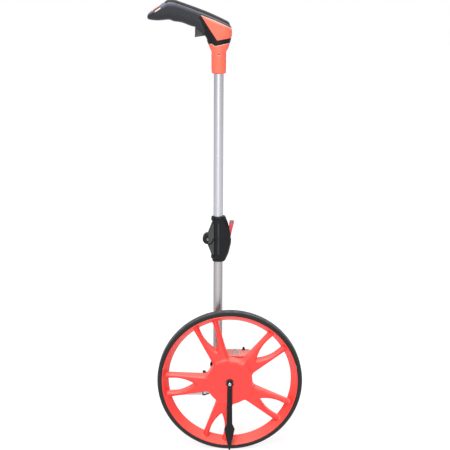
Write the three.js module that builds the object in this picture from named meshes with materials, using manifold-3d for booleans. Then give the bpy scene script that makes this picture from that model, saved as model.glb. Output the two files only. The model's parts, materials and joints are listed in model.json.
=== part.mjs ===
// A surveyor's measuring wheel: a one-metre wheel on a folding pole, with a pistol grip, a brake trigger,
// a five-figure revolution counter, a hanging pointer at the axle and a swing-down stand.
// Millimetres. +Z is up, +X is the way the wheel rolls, and +Y runs from the open face of the wheel to its
// frame. The origin is where the tyre's middle touches the ground, straight under the axle.
import * as THREE from "three";
import { mergeVertices } from "three/addons/utils/BufferGeometryUtils.js";
import Module from "manifold-3d";

const wasm = await Module();
wasm.setup();

// ---------------------------------------------------------------- driving dimensions

const GAP = 0.3; // what two pieces that touch are kept apart by
const PLAY = 0.25; // radial clearance of a piece that turns on another

const CIRCUMFERENCE = 1000; // one turn of the wheel measures one metre
const WHEEL_R = CIRCUMFERENCE / (2 * Math.PI);
const WHEEL_STEPS = 64; // flats round the tyre and the rim
const TYRE_HALF = 9.7;
const TYRE_INNER_R = 149.8;
const RIM_HALF = 12;
const RIM_FRONT_R = 147.6; // the rim's dished face runs from here, at the front ...
const RIM_BACK_R = 134.6; // ... to here, at the back
const WALL = 2.4; // wall thickness of the moulded parts

const HUB_R = 50;
const HUB_FRONT = -19; // the hub's front face, ahead of the wheel's middle plane
const HUB_BACK = 11.5;
const BRAKE_R = 36; // a flange at the back of the hub that the brake pad presses on
const BOSS_R = 11.5;
const AXLE_R = 4;
const BEARING_R = 8.5;
const BEARING_WIDTH = 6;
const FORKS = 5;
const FORK_TURN = 41; // degrees from +X to the first fork

const TUBE_X = -27; // the pole stands behind the hub and a little to its left
const TUBE_Y = 38;
const LOWER_TUBE_R = 10;
const UPPER_TUBE_R = 10.5;
const TUBE_WALL = 1.4;

const BOX_FRONT = 15.5; // the gearbox behind the hub
const BOX_SPLIT = 38;
const BOX_BACK = 60;
const BOX_TOP = 51.2; // above the axle

const TEETH = 20; // the wheel's pinion and the counter's gear are alike, so the counter turns once a metre
const IDLER_TEETH = 28;
const TOOTH_MODULE = 0.8;
const COUNTER_X = 13.5;
const COUNTER_REACH = ((TEETH + 2 * IDLER_TEETH + TEETH) / 2) * TOOTH_MODULE; // axle to counter shaft
const COUNTER_Z = Math.sqrt(COUNTER_REACH ** 2 - COUNTER_X ** 2);
const DRUMS = 5;
const DRUM_R = 9.6;
const DRUM_PITCH = 5.7;
const DRUM_WIDTH = 5.3;
const DRUM_START = 27.6;

const FOLD_Z = 471.2; // height of the fold hinge
const FOLD_X = -22.3; // the hinge, from the pole's axis
const NECK_Z = 824; // lower end of the handle's neck

const STAND_X = -51; // the stand's pivot, from the axle
const STAND_Z = -34.5;

// ---------------------------------------------------------------- shape helpers

const bare = (geometry) => {
  const kept = new THREE.BufferGeometry().setAttribute("position", geometry.getAttribute("position"));
  kept.setIndex(geometry.index);
  return mergeVertices(kept, 1e-4);
};

// A closed three.js geometry as a manifold-3d solid with its faces pointing out.
function solid(geometry) {
  const merged = bare(geometry);
  const corners = merged.index.array;
  const keep = [];
  for (let i = 0; i < corners.length; i += 3) {
    const [a, b, c] = [corners[i], corners[i + 1], corners[i + 2]];
    if (a !== b && b !== c && a !== c) keep.push(a, b, c);
  }
  const vertProperties = merged.attributes.position.array;
  const make = (order) =>
    new wasm.Manifold(new wasm.Mesh({ numProp: 3, vertProperties, triVerts: new Uint32Array(order) }));
  const made = make(keep);
  return made.volume() < 0 ? make(keep.reverse()) : made;
}

function geometryOf(made) {
  const { numProp, numVert, vertProperties, triVerts } = made.getMesh();
  const position = new Float32Array(numVert * 3);
  for (let i = 0; i < numVert; i++) {
    position.set(vertProperties.subarray(i * numProp, i * numProp + 3), i * 3);
  }
  const geometry = new THREE.BufferGeometry();
  geometry.setAttribute("position", new THREE.BufferAttribute(position, 3));
  geometry.setIndex(new THREE.BufferAttribute(triVerts, 1));
  geometry.computeVertexNormals();
  return geometry;
}

const points = (pairs) => pairs.map(([a, b]) => new THREE.Vector2(a, b));

// A profile of [radius, height] pairs turned round the Y axis. A closed ring repeats its first pair.
function turned(profile, steps = 20, start = 0) {
  return solid(new THREE.LatheGeometry(points(profile), steps, start));
}

const ring = (inner, outer, y0, y1, steps = 24) =>
  turned([[inner, y0], [outer, y0], [outer, y1], [inner, y1], [inner, y0]], steps);

const disc = (radius, y0, y1, steps = 16) => turned([[0, y0], [radius, y0], [radius, y1], [0, y1]], steps);

// The same pieces standing along Z.
const upright = (made) => made.rotate([90, 0, 0]);
const post = (radius, z0, z1, steps = 24) => upright(disc(radius, z0, z1, steps));
const pipe = (inner, outer, z0, z1, steps = 32) => upright(ring(inner, outer, z0, z1, steps));

// An outline drawn in X and Z, as a plate from y0 to y1 whose edges are rounded by `round`.
function plate(shape, y0, y1, round = 0, curveSegments = 3) {
  const geometry = new THREE.ExtrudeGeometry(shape, {
    depth: y1 - y0 - 2 * round,
    bevelEnabled: round > 0,
    bevelThickness: round,
    bevelSize: round,
    bevelOffset: -round,
    bevelSegments: 1,
    curveSegments,
  });
  return solid(geometry.rotateX(Math.PI / 2).translate(0, y1 - round, 0));
}

// Rounded sections strung along the X or the Z axis. A station is [distance, low, high, half]: where it is,
// its two edges across the axis, and half its width along Y.
function loft(stations, along, steps = 14, power = 2.6) {
  const position = [];
  const put = (at, across, y) => position.push(...(along === "x" ? [at, y, across] : [across, y, at]));
  const bulge = (value) => Math.sign(value) * Math.abs(value) ** (2 / power);
  for (const [at, low, high, half] of stations) {
    for (let i = 0; i < steps; i++) {
      const angle = (2 * Math.PI * i) / steps;
      put(at, (low + high) / 2 + ((high - low) / 2) * bulge(Math.cos(angle)), half * bulge(Math.sin(angle)));
    }
  }
  const [first, last] = [stations[0], stations[stations.length - 1]];
  put(first[0], (first[1] + first[2]) / 2, 0);
  put(last[0], (last[1] + last[2]) / 2, 0);
  const end = stations.length * steps;
  const index = [];
  for (let i = 0; i < steps; i++) {
    const next = (i + 1) % steps;
    for (let row = 0; row < end - steps; row += steps) {
      index.push(row + i, row + next, row + steps + next, row + i, row + steps + next, row + steps + i);
    }
    index.push(end, next, i, end + 1, end - steps + i, end - steps + next);
  }
  const geometry = new THREE.BufferGeometry();
  geometry.setAttribute("position", new THREE.Float32BufferAttribute(position, 3)).setIndex(index);
  return solid(geometry);
}

// The station part of the way along, between the two it lies between.
function stationAt(stations, at) {
  const after = stations.findIndex((station) => station[0] >= at);
  const [a, b] = [stations[after - 1], stations[after]];
  return a.map((value, i) => THREE.MathUtils.mapLinear(at, a[0], b[0], value, b[i]));
}

// The same stations drawn in by `inset` on every side.
function drawnIn(stations, inset) {
  if (!inset) return stations;
  const [start, stop] = [stations[0][0] + inset, stations[stations.length - 1][0] - inset];
  const middle = stations.filter(([at]) => at > start + 1 && at < stop - 1);
  return [stationAt(stations, start), ...middle, stationAt(stations, stop)].map(([at, low, high, half]) => [
    at, low + inset, high - inset, half - inset]);
}

// A polygon with every corner rounded by `radius`, where its sides are long enough.
function rounded(pairs, radius) {
  const corners = points(pairs);
  const shape = new THREE.Shape();
  corners.forEach((corner, i) => {
    const before = corners[(i + corners.length - 1) % corners.length];
    const after = corners[(i + 1) % corners.length];
    const reach = Math.min(radius, corner.distanceTo(before) / 2.1, corner.distanceTo(after) / 2.1);
    const from = corner.clone().add(before.clone().sub(corner).setLength(reach));
    const to = corner.clone().add(after.clone().sub(corner).setLength(reach));
    if (i === 0) shape.moveTo(from.x, from.y);
    else shape.lineTo(from.x, from.y);
    shape.quadraticCurveTo(corner.x, corner.y, to.x, to.y);
  });
  shape.closePath();
  return shape;
}

const polygon = (pairs) => new THREE.Shape(points(pairs));

function hexagon(radius) {
  const corners = [0, 60, 120, 180, 240, 300].map(THREE.MathUtils.degToRad);
  return polygon(corners.map((angle) => [radius * Math.cos(angle), radius * Math.sin(angle)]));
}

function block(x0, x1, y0, y1, z0, z1) {
  const box = new THREE.BoxGeometry(x1 - x0, y1 - y0, z1 - z0);
  return solid(box.translate((x0 + x1) / 2, (y0 + y1) / 2, (z0 + z1) / 2));
}

const join = (...made) => made.reduce((a, b) => a.add(b));
const cut = (from, ...tools) => tools.reduce((a, b) => a.subtract(b), from);

// A spur gear of straight-sided teeth. One tooth points along `phase` degrees from +X towards +Z.
function gear(teeth, y0, y1, bore, phase) {
  const pitch = (teeth * TOOTH_MODULE) / 2;
  const [root, tip] = [pitch - 1.2 * TOOTH_MODULE, pitch + 0.9 * TOOTH_MODULE];
  const step = (2 * Math.PI) / teeth;
  const sides = [[-0.33, root], [-0.13, tip], [0.13, tip], [0.33, root]];
  const outline = [];
  for (let tooth = 0; tooth < teeth; tooth++) {
    for (const [share, radius] of sides) {
      const angle = THREE.MathUtils.degToRad(phase) + (tooth + share) * step;
      outline.push([radius * Math.cos(angle), radius * Math.sin(angle)]);
    }
  }
  return cut(plate(polygon(outline), y0, y1), disc(bore, y0 - 1, y1 + 1, 20));
}

// A close-wound spring of round wire whose axis is the Y axis.
function coil(radius, wire, turns, y0) {
  class Helix extends THREE.Curve {
    getPoint(t) {
      const angle = 2 * Math.PI * turns * t;
      const rise = y0 + wire + t * turns * (2 * wire + 0.35);
      return new THREE.Vector3(radius * Math.cos(angle), rise, radius * Math.sin(angle));
    }
  }
  const section = new THREE.Shape(new THREE.EllipseCurve(0, 0, wire, wire).getPoints(5).slice(0, -1));
  return solid(new THREE.ExtrudeGeometry(section, { steps: turns * 9, extrudePath: new Helix() }));
}

// A pan-head screw along Y, its head at y0 and its tip towards +Y, or -Y if length is negative.
function screw(headR, shankR, y0, length, headHeight = 2) {
  const way = Math.sign(length);
  const [waist, neck, tip] = [y0 + (way * headHeight) / 2, y0 + way * headHeight, y0 + length];
  return turned([[0, y0], [headR * 0.7, y0], [headR, waist], [headR, neck], [shankR, neck], [shankR, tip],
    [0, tip]], 12);
}

// ---------------------------------------------------------------- materials

function material(color, roughness, metalness = 0) {
  return new THREE.MeshStandardMaterial({ color, roughness, metalness });
}

const ORANGE = material(0xf5483b, 0.42);
const BLACK = material(0x2b2c2e, 0.5);
const RUBBER = material(0x2f3133, 0.85);
const RED = material(0xd8303a, 0.45);
const ALUMINIUM = material(0xc9cace, 0.35, 0.9);
const STEEL = material(0xb4b6ba, 0.3, 1);
const NYLON = material(0xe9e6dc, 0.55);
const CLEAR = material(0xdfe8ea, 0.1);
CLEAR.transparent = true;
CLEAR.opacity = 0.4;

const whole = new THREE.Group();

function group(x, y, z, parent = whole) {
  const made = new THREE.Group();
  made.position.set(x, y, z);
  parent.add(made);
  return made;
}

function add(parent, name, made, finish) {
  const mesh = new THREE.Mesh(geometryOf(made), finish);
  mesh.name = name;
  parent.add(mesh);
  return mesh;
}

// ---------------------------------------------------------------- the wheel

const axleFrame = group(0, 0, WHEEL_R);

// The first flat of a ring of WHEEL_STEPS sides faces the ground, and its sides touch the true circle.
const wheelTurned = (profile) => turned(profile, WHEEL_STEPS, Math.PI / WHEEL_STEPS);
const FLAT = 1 / Math.cos(Math.PI / WHEEL_STEPS);

function tyre() {
  const [tread, shoulder] = [WHEEL_R * FLAT, 2.7];
  return wheelTurned([[TYRE_INNER_R, -TYRE_HALF], [tread - shoulder, -TYRE_HALF],
    [tread, shoulder - TYRE_HALF], [tread, TYRE_HALF - shoulder], [tread - shoulder, TYRE_HALF],
    [TYRE_INNER_R, TYRE_HALF], [TYRE_INNER_R, -TYRE_HALF]]);
}

// A dished rim, hollow at the back: a seat for the tyre and a cone that leans inwards behind it.
function rim() {
  const seat = TYRE_INNER_R - GAP;
  return wheelTurned([[seat, -RIM_HALF], [seat, RIM_HALF], [seat - WALL, RIM_HALF],
    [seat - WALL, -RIM_HALF / 2], [RIM_BACK_R + WALL, RIM_HALF], [RIM_BACK_R, RIM_HALF],
    [RIM_FRONT_R, -RIM_HALF], [seat, -RIM_HALF]]);
}

function hub() {
  const shell = turned([[0, HUB_FRONT], [HUB_R - 2, HUB_FRONT], [HUB_R, HUB_FRONT + 2], [HUB_R, HUB_BACK],
    [HUB_R - WALL, HUB_BACK], [HUB_R - WALL, HUB_FRONT + WALL], [BOSS_R, HUB_FRONT + WALL],
    [BOSS_R, HUB_BACK + 2.5], [0, HUB_BACK + 2.5]], 40);
  return join(shell, ring(BOSS_R - 1, BRAKE_R, HUB_BACK - WALL, HUB_BACK, 40));
}

// Half the width of a fork at a distance from the axle: it widens steadily towards the rim.
const forkHalf = (reach) => 17.6 + ((reach - HUB_R) * 10.6) / (RIM_BACK_R - HUB_R);

// One fork, pointing along +X, with its mouth open to the rim. `inset` shrinks it on all sides.
function fork(inset, from, to) {
  const apex = 77 - inset * 1.5;
  const mouth = 15.6 + inset;
  const shape = new THREE.Shape();
  shape.moveTo(from, forkHalf(from) - inset);
  shape.lineTo(from, inset - forkHalf(from));
  shape.lineTo(to, inset - forkHalf(to));
  shape.lineTo(to, -mouth);
  shape.bezierCurveTo(109, -mouth - 0.4, apex + 2, -5.5, apex, 0);
  shape.bezierCurveTo(apex + 2, 5.5, 109, mouth + 0.4, to, mouth);
  shape.lineTo(to, forkHalf(to) - inset);
  return shape;
}

// The front of the forks runs from the hub's face back to the rim; their back is nearly flat.
const forkFront = (reach) => THREE.MathUtils.mapLinear(reach, HUB_R, RIM_FRONT_R, HUB_FRONT + 2, -3);
const FORK_BACK = 9;

// Makes a fork whose front follows forkFront, `deep` behind it.
function forkBody(inset, from, to, deep) {
  const shape = fork(inset, from, to);
  const geometry = new THREE.ExtrudeGeometry(shape, { depth: 1, bevelEnabled: false, curveSegments: 3 });
  const position = geometry.getAttribute("position");
  for (let i = 0; i < position.count; i++) {
    const [x, z, share] = [position.getX(i), position.getY(i), position.getZ(i)];
    const front = forkFront(Math.hypot(x, z)) + deep;
    position.setXYZ(i, x, share > 0.5 ? front : FORK_BACK + deep * 2, z);
  }
  return solid(geometry);
}

function spider() {
  const body = forkBody(0, HUB_R - 4, RIM_FRONT_R - 3, 0);
  const hollow = forkBody(WALL, HUB_R - 1, RIM_BACK_R - 1, WALL);
  const rib = block(BOSS_R - 1, HUB_R - 1, HUB_FRONT + 1, HUB_BACK - 3, -WALL / 2, WALL / 2);
  let made = join(rim(), hub());
  for (let i = 0; i < FORKS; i++) {
    made = join(made, join(cut(body, hollow), rib).rotate([0, -(FORK_TURN + (i * 360) / FORKS), 0]));
  }
  const bearingSeat = BEARING_R + 0.05;
  return cut(
    made,
    disc(AXLE_R + 1.2, HUB_FRONT - 1, HUB_BACK + 5, 24),
    disc(bearingSeat, HUB_FRONT - 1, HUB_FRONT + BEARING_WIDTH + 1.4, 24),
    disc(bearingSeat, HUB_BACK + 2.5 - BEARING_WIDTH, HUB_BACK + 4, 24),
  );
}

const PINION_FRONT = 19; // the gear train's plane
const PINION_BACK = 25;
const train = THREE.MathUtils.radToDeg(Math.atan2(COUNTER_Z, COUNTER_X)); // the line of the gear centres

add(axleFrame, "tyre", tyre(), RUBBER);
add(axleFrame, "wheel_spider", spider(), ORANGE);
const bearing = (y0) => ring(AXLE_R + PLAY, BEARING_R - 0.3, y0, y0 + BEARING_WIDTH, 24);
add(axleFrame, "front_bearing", bearing(HUB_FRONT + 1.2), STEEL);
add(axleFrame, "rear_bearing", bearing(HUB_BACK + 2.6 - BEARING_WIDTH), STEEL);
const pinion = gear(TEETH, PINION_FRONT, PINION_BACK, AXLE_R + PLAY, train);
const pinionCollar = ring(AXLE_R + PLAY, BOSS_R - 5, HUB_BACK + 2.9, PINION_FRONT, 20);
add(axleFrame, "wheel_pinion", join(pinion, pinionCollar), NYLON);

// ---------------------------------------------------------------- axle, pointer and its screw

const POINTER_FRONT = -23.4;
const POINTER_THICK = 3;

function axle() {
  const spigot = POINTER_FRONT - 0.6;
  return turned([[0, spigot], [2.6, spigot], [2.6, HUB_FRONT + 0.6], [AXLE_R, HUB_FRONT + 0.6],
    [AXLE_R, BOX_BACK - 3], [6, BOX_BACK - 3], [6, BOX_BACK - 1], [3, BOX_BACK - 1], [3, BOX_BACK + 6],
    [0, BOX_BACK + 6]]);
}

// A long blade with a round eye at the top and an arrowhead whose tip stops just above the ground.
function pointer() {
  const tip = 3 - WHEEL_R;
  const blade = polygon([[-5.3, -2], [5.3, -2], [6.2, -94], [11.6, -106], [4.9, -139], [1.5, tip],
    [-1.5, tip], [-4.9, -139], [-11.6, -106], [-6.2, -94]]);
  const back = POINTER_FRONT + POINTER_THICK;
  return cut(
    join(plate(blade, POINTER_FRONT, back, 0.6), disc(7.6, POINTER_FRONT - 0.4, back, 32)),
    disc(2.6 + PLAY, POINTER_FRONT - 2, back + 2, 20),
  );
}

add(axleFrame, "axle", axle(), STEEL);
add(axleFrame, "pointer", pointer(), BLACK);
const pointerScrew = turned([[0, -28], [2.4, -27.6], [4, -26], [4, -24.3], [0, -24.3]], 24);
add(axleFrame, "pointer_screw", pointerScrew, STEEL);
const axleNut = plate(hexagon(5.6), BOX_BACK + 0.5, BOX_BACK + 4.6);
add(axleFrame, "axle_nut", cut(axleNut, disc(3 + GAP, BOX_BACK, BOX_BACK + 6)), STEEL);

// ---------------------------------------------------------------- gearbox shells

const TUBE_BOTTOM = -18; // where the lower tube ends, from the axle
const SOCKET_TOP = 57;
const SCREW_SPOTS = [[43, 44], [42, -4], [-6, -34], [-37, -26]];
const WINDOW = { x0: 8, x1: 19, y0: 18.8, y1: 56 };

const boxOutline = rounded([[-42, SOCKET_TOP], [-12, SOCKET_TOP], [-12, BOX_TOP], [48, BOX_TOP], [48, -8],
  [22, -40], [-22, -44], [-42, -30]], 7);
const hollowOutline = rounded([[-10, BOX_TOP - WALL], [48 - WALL, BOX_TOP - WALL], [48 - WALL, -7],
  [20.5, -37.5], [-14, -40.5], [-14, -22], [-10, -22]], 5);

// Both shells share one outline. Each is open at the split, with bosses for its screws.
function shell(y0, y1, openFront) {
  const inner = openFront ? [y0 - 1, y1 - WALL] : [y0 + WALL, y1 + 1];
  const open = cut(plate(boxOutline, y0, y1, 0), plate(hollowOutline, inner[0], inner[1]));
  const boss = disc(3.8, y0 + 0.5, y1 - 0.5, 10);
  const bosses = SCREW_SPOTS.slice(0, 3).map(([x, z]) => boss.translate([x, 0, z]));
  const holes = SCREW_SPOTS.map(([x, z]) => disc(1.9, y0 - 1, y1 + 1, 8).translate([x, 0, z]));
  const socket = post(LOWER_TUBE_R + GAP, TUBE_BOTTOM, SOCKET_TOP + 5, 28).translate([TUBE_X, TUBE_Y, 0]);
  const window = block(WINDOW.x0, WINDOW.x1, WINDOW.y0, WINDOW.y1, BOX_TOP - WALL - 1, BOX_TOP + 1);
  return cut(join(open, ...bosses), ...holes, socket, window, tubeBolt(GAP));
}

// The cross bolt that holds the tube in its socket, or the hole for it.
const TUBE_BOLT_SPOT = [TUBE_X, 0, 34];
const tubeBolt = (slack) => disc(2 + slack, BOX_FRONT - 1, BOX_BACK + 2, 16).translate(TUBE_BOLT_SPOT);

const shaftSpot = [COUNTER_X, 0, COUNTER_Z];
const idlerShare = (TEETH + IDLER_TEETH) / (TEETH + 2 * IDLER_TEETH + TEETH);
const idlerSpot = [COUNTER_X * idlerShare, 0, COUNTER_Z * idlerShare];
const PAD_SPOT = [-3, 0, -26]; // the brake pad, below the axle

function frontShell() {
  return cut(
    shell(BOX_FRONT, BOX_SPLIT - GAP / 2, false),
    disc(BOSS_R + 1, BOX_FRONT - 1, BOX_FRONT + WALL + 1, 32), // the wheel's pinion comes in here
    disc(6.4, BOX_FRONT - 1, BOX_FRONT + WALL + 1, 24).translate(PAD_SPOT),
    disc(1.5, BOX_FRONT - 1, BOX_FRONT + WALL + 1, 12).translate(idlerSpot),
    disc(2.3, BOX_FRONT - 1, BOX_FRONT + WALL + 1, 16).translate(shaftSpot),
  );
}

const RESET_X = 31;
const RESET_Y = 55;
const RESET_Z = 36;

function rearShell() {
  const axleSeat = disc(8.5, BOX_SPLIT + 2, BOX_BACK - 0.5, 24);
  return cut(
    join(shell(BOX_SPLIT + GAP / 2, BOX_BACK, true), axleSeat),
    disc(AXLE_R + GAP, BOX_SPLIT, BOX_BACK - 3 + GAP, 24),
    disc(6 + GAP, BOX_BACK - 3 - GAP, BOX_BACK + 1, 24),
    block(RESET_X - 4, RESET_X + 10, RESET_Y - 3, BOX_BACK - WALL, BOX_TOP - WALL - 1, BOX_TOP + 1),
    disc(2.3, BOX_BACK - WALL - 1, BOX_BACK + 1, 16).translate(shaftSpot),
  );
}

add(axleFrame, "gearbox_front_shell", frontShell(), ORANGE);
add(axleFrame, "gearbox_rear_shell", rearShell(), ORANGE);
SCREW_SPOTS.forEach(([x, z], i) => {
  add(axleFrame, `gearbox_screw_${i + 1}`, screw(3.4, 1.5, BOX_BACK + 2.3, -36).translate([x, 0, z]), STEEL);
});
const boltShank = disc(2, BOX_FRONT - 0.5, BOX_BACK + 1, 16);
const boltHead = disc(4, BOX_BACK + 0.4, BOX_BACK + 3, 16);
add(axleFrame, "tube_bolt", join(boltShank, boltHead).translate(TUBE_BOLT_SPOT), STEEL);
const pane = [WINDOW.x0 + GAP, WINDOW.x1 - GAP, WINDOW.y0 + GAP, WINDOW.y1 - GAP];
add(axleFrame, "counter_window", block(...pane, BOX_TOP - 1.6, BOX_TOP + 0.3), CLEAR);

// ---------------------------------------------------------------- counter

const counterFrame = group(COUNTER_X, 0, COUNTER_Z, axleFrame);
const SHAFT_R = 2;
add(counterFrame, "counter_shaft", disc(SHAFT_R, BOX_FRONT + 0.4, BOX_BACK - 0.4, 16), STEEL);

// The train holds an even count of teeth on every gear, so each neighbour is turned by half a tooth.
const idlerPhase = train + 180 / IDLER_TEETH;
add(counterFrame, "counter_gear", gear(TEETH, PINION_FRONT, PINION_BACK, SHAFT_R + PLAY / 2, train), NYLON);
const idler = gear(IDLER_TEETH, PINION_FRONT, PINION_BACK, 1.2 + PLAY, idlerPhase);
add(axleFrame, "idler_gear", idler.translate(idlerSpot), NYLON);
const idlerShank = disc(1.2, BOX_FRONT + 0.4, PINION_BACK + 2, 12);
const idlerHead = disc(2.4, PINION_BACK + 0.4, PINION_BACK + 2, 12);
add(axleFrame, "idler_pin", join(idlerShank, idlerHead).translate(idlerSpot), STEEL);

function drum(index) {
  const y0 = DRUM_START + index * DRUM_PITCH;
  return ring(SHAFT_R + PLAY, DRUM_R, y0, y0 + DRUM_WIDTH, 20);
}

for (let i = 0; i < DRUMS; i++) add(counterFrame, `digit_drum_${i + 1}`, drum(i), i ? BLACK : NYLON);

// The reset lever rocks on a pin inside the box and its tip stands out of the top.
const resetFrame = group(RESET_X, RESET_Y, RESET_Z, axleFrame);
const resetOutline = rounded([[-2.6, -4], [2.6, -4], [2.8, 21.6], [-2.8, 21.6]], 2);
add(resetFrame, "reset_lever", cut(plate(resetOutline, -2, 2, 0.5), disc(1.2 + PLAY, -5, 5, 12)), BLACK);
add(resetFrame, "reset_pin", disc(1.2, -4, BOX_BACK - WALL - RESET_Y - 0.3, 12), STEEL);

// ---------------------------------------------------------------- brake in the gearbox

const padFrame = group(...PAD_SPOT, axleFrame);
const PAD_FRONT = HUB_BACK + 1.6; // the pad stands this far off the flange when the trigger is free
const padStem = disc(2, BOX_FRONT + 2, 30, 16);
add(padFrame, "brake_pad", join(disc(5.8, PAD_FRONT, BOX_FRONT + 3.4), padStem), RUBBER);
add(padFrame, "brake_spring", coil(3.6, 0.6, 3, 20.5), STEEL);

// ---------------------------------------------------------------- stand

// A black bracket on the gearbox's left side carries a flat leg, folded up level behind the wheel. The leg's
// end shows through an opening in the bracket's front cheek, and a strap of the bracket lies on the gearbox.
const LEG_FRONT = 14.6;
const LEG_BACK = 19.4;
const CHEEK_FRONT = LEG_FRONT - 2;
const LEG_PLAY = 0.6;
const BRACKET_BACK = 48;
const armOutline = rounded([[-42 - GAP, 0], [-52.5, 0.8], [-54.8, 4.8], [-60.8, 4.8], [-60.8, -42.4],
  [-56, -42.4], [-47, -38.4], [-42 - GAP, -36]], 2);
const strapOutline = rounded([[-46, -20], [-46, -4], [-41.5, 6], [-41.5, 24], [-43.6, 28], [-43.6, 34],
  [-40.4, 39], [-36, 39], [-36, -20]], 1);
const cheekOpening = rounded([[-58.4, -39.9], [-58.4, -25], [-45, -25], [-45, -36.4], [-56.5, -39.9]], 1.6);

function standBracket() {
  const arm = plate(armOutline, CHEEK_FRONT, BRACKET_BACK);
  const pocket = rounded([[-58.4, 3.2], [-55, 3.2], [-53, -2], [-45, -2.6], [-45, -21], [-58.4, -21]], 1.6);
  return cut(
    join(arm, plate(strapOutline, CHEEK_FRONT, BOX_FRONT - GAP)),
    plate(pocket, LEG_BACK + 4, BRACKET_BACK + 1),
    plate(cheekOpening, CHEEK_FRONT - 1, LEG_FRONT),
    block(-70, -42, LEG_FRONT - LEG_PLAY, LEG_BACK + LEG_PLAY, -60, -25.5),
    disc(2 + GAP, LEG_FRONT, 60, 16).translate([STAND_X, 0, STAND_Z]),
  );
}

// The leg runs to the left, with a rubber foot on its end.
const LEG_REACH = 96;
const legOutline = rounded([[7.5, -6.6], [7.5, 6.6], [-LEG_REACH, 3.4], [-LEG_REACH, -8.4]], 6);
const footOutline = rounded([[8 - LEG_REACH, -10.4], [8 - LEG_REACH, 5.9], [-LEG_REACH - 5, 5.4],
  [-LEG_REACH - 5, -10.4]], 4);
const standFrame = group(STAND_X, 0, STAND_Z, axleFrame);
add(axleFrame, "stand_bracket", standBracket(), BLACK);
const leg = plate(legOutline, LEG_FRONT, LEG_BACK, 0.8);
add(standFrame, "stand_leg", cut(leg, disc(2 + PLAY, 0, 60, 16)), ALUMINIUM);
const legSlack = plate(legOutline, LEG_FRONT - GAP, LEG_BACK + GAP);
const footPocket = join(legSlack.translate([0, 0, GAP]), legSlack.translate([-GAP, 0, -GAP]));
const foot = plate(footOutline, LEG_FRONT - 1.8, LEG_BACK + 1.6, 0.8);
add(standFrame, "stand_foot", cut(foot, footPocket), RUBBER);
const standShank = disc(2, LEG_FRONT - 0.6, LEG_BACK + 5.8);
add(standFrame, "stand_pin", join(standShank, disc(2.9, LEG_FRONT - 1.7, LEG_FRONT - GAP)), STEEL);

// ---------------------------------------------------------------- pole

const poleFrame = group(TUBE_X, TUBE_Y, 0);
const LOWER_TOP = FOLD_Z - 6;
const UPPER_BOTTOM = FOLD_Z + 6;
const UPPER_TOP = NECK_Z + 46;
const lowerTube = cut(
  pipe(LOWER_TUBE_R - TUBE_WALL, LOWER_TUBE_R, WHEEL_R + TUBE_BOTTOM + GAP, LOWER_TOP, 28),
  tubeBolt(GAP).translate([-TUBE_X, -TUBE_Y, WHEEL_R]),
);
add(poleFrame, "lower_tube", lowerTube, ALUMINIUM);
const upperTube = pipe(UPPER_TUBE_R - TUBE_WALL, UPPER_TUBE_R, UPPER_BOTTOM, UPPER_TOP, 28);
add(poleFrame, "upper_tube", upperTube, ALUMINIUM);
add(poleFrame, "brake_cable_lower", post(1.25, WHEEL_R + 44, FOLD_Z - 1, 8), BLACK);
add(poleFrame, "brake_cable_upper", post(1.25, FOLD_Z + 1, NECK_Z + 60, 8), BLACK);

// ---------------------------------------------------------------- fold joint

// Two black housings meet at the hinge's height. The upper one carries the outer ears of the hinge and the
// red lock lever; the lower one carries the middle knuckle and a pocket for the lever's nose. The inner half
// of each ear is as thick as the webs, so that the webs seem to run on across the hinge.
const foldFrame = group(TUBE_X, TUBE_Y, FOLD_Z);
const KNUCKLE_R = 11.2;
const HINGE_PIN_R = 1.8;
const KNUCKLE_HALF = 12.4;
const WING_HALF = 13.4; // the web that reaches from each housing to its knuckle
const EAR = 7; // half the middle knuckle's width
const SEAM = 0.15;

const UPPER_STATIONS = [[SEAM, -13.4, 28.4, 15.4], [9, -14, 28, 16], [22, -14.4, 25.2, 15.8],
  [37, -13.2, 20.4, 15], [44.5, -12.7, 16.6, 14], [45.5, -13.4, 16.8, 14.4], [48.4, -13.2, 15.4, 14],
  [49.4, -12.4, 14.4, 13]];
const LOWER_STATIONS = [[-50.4, -11.2, 11.4, 11.4], [-48.8, -12.2, 14.4, 12.6], [-43.6, -12.6, 18, 13.8],
  [-30.4, -13.6, 23.4, 15.4], [-17, -14.2, 26.6, 16], [-8, -14, 28.4, 16], [-SEAM, -13.4, 28.5, 15.4]];

const hingeDisc = (radius, y0, y1) => disc(radius, y0, y1, 20).translate([FOLD_X, 0, 0]);
// The housings are thickest in front of the tubes and thin out towards the lever.
const taperOutline = polygon([[-30, -16.2], [3, -16.2], [30, -10.4], [30, 10.4], [3, 16.2], [-30, 16.2]]);
const taper = upright(plate(taperOutline, -60, 60));
const web = (way) => plate(polygon([[-8, way * SEAM], [-22, way * SEAM], [-22, way * 15], [-13.6, way * 34.6],
  [-8, way * 35.6]]), -WING_HALF, WING_HALF);
const SLOT_HALF = 6;
const SLOT_X = 13;
const LEVER_PIVOT = [23.5, 0, 6];
const LEVER_PIN_HALF = 9.7;
const CLAMP_X = -12.4; // the cross bolts that pinch each housing on its tube
const CLAMP_UP = 44.2;
const CLAMP_DOWN = -39.6;
const CLAMP_HALF = 12;
const clampEar = (z) => disc(2.9, -CLAMP_HALF, CLAMP_HALF, 16).translate([CLAMP_X, 0, z]);
const clampHole = (z) => disc(1.5, -30, 30, 12).translate([CLAMP_X, 0, z]);

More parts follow.
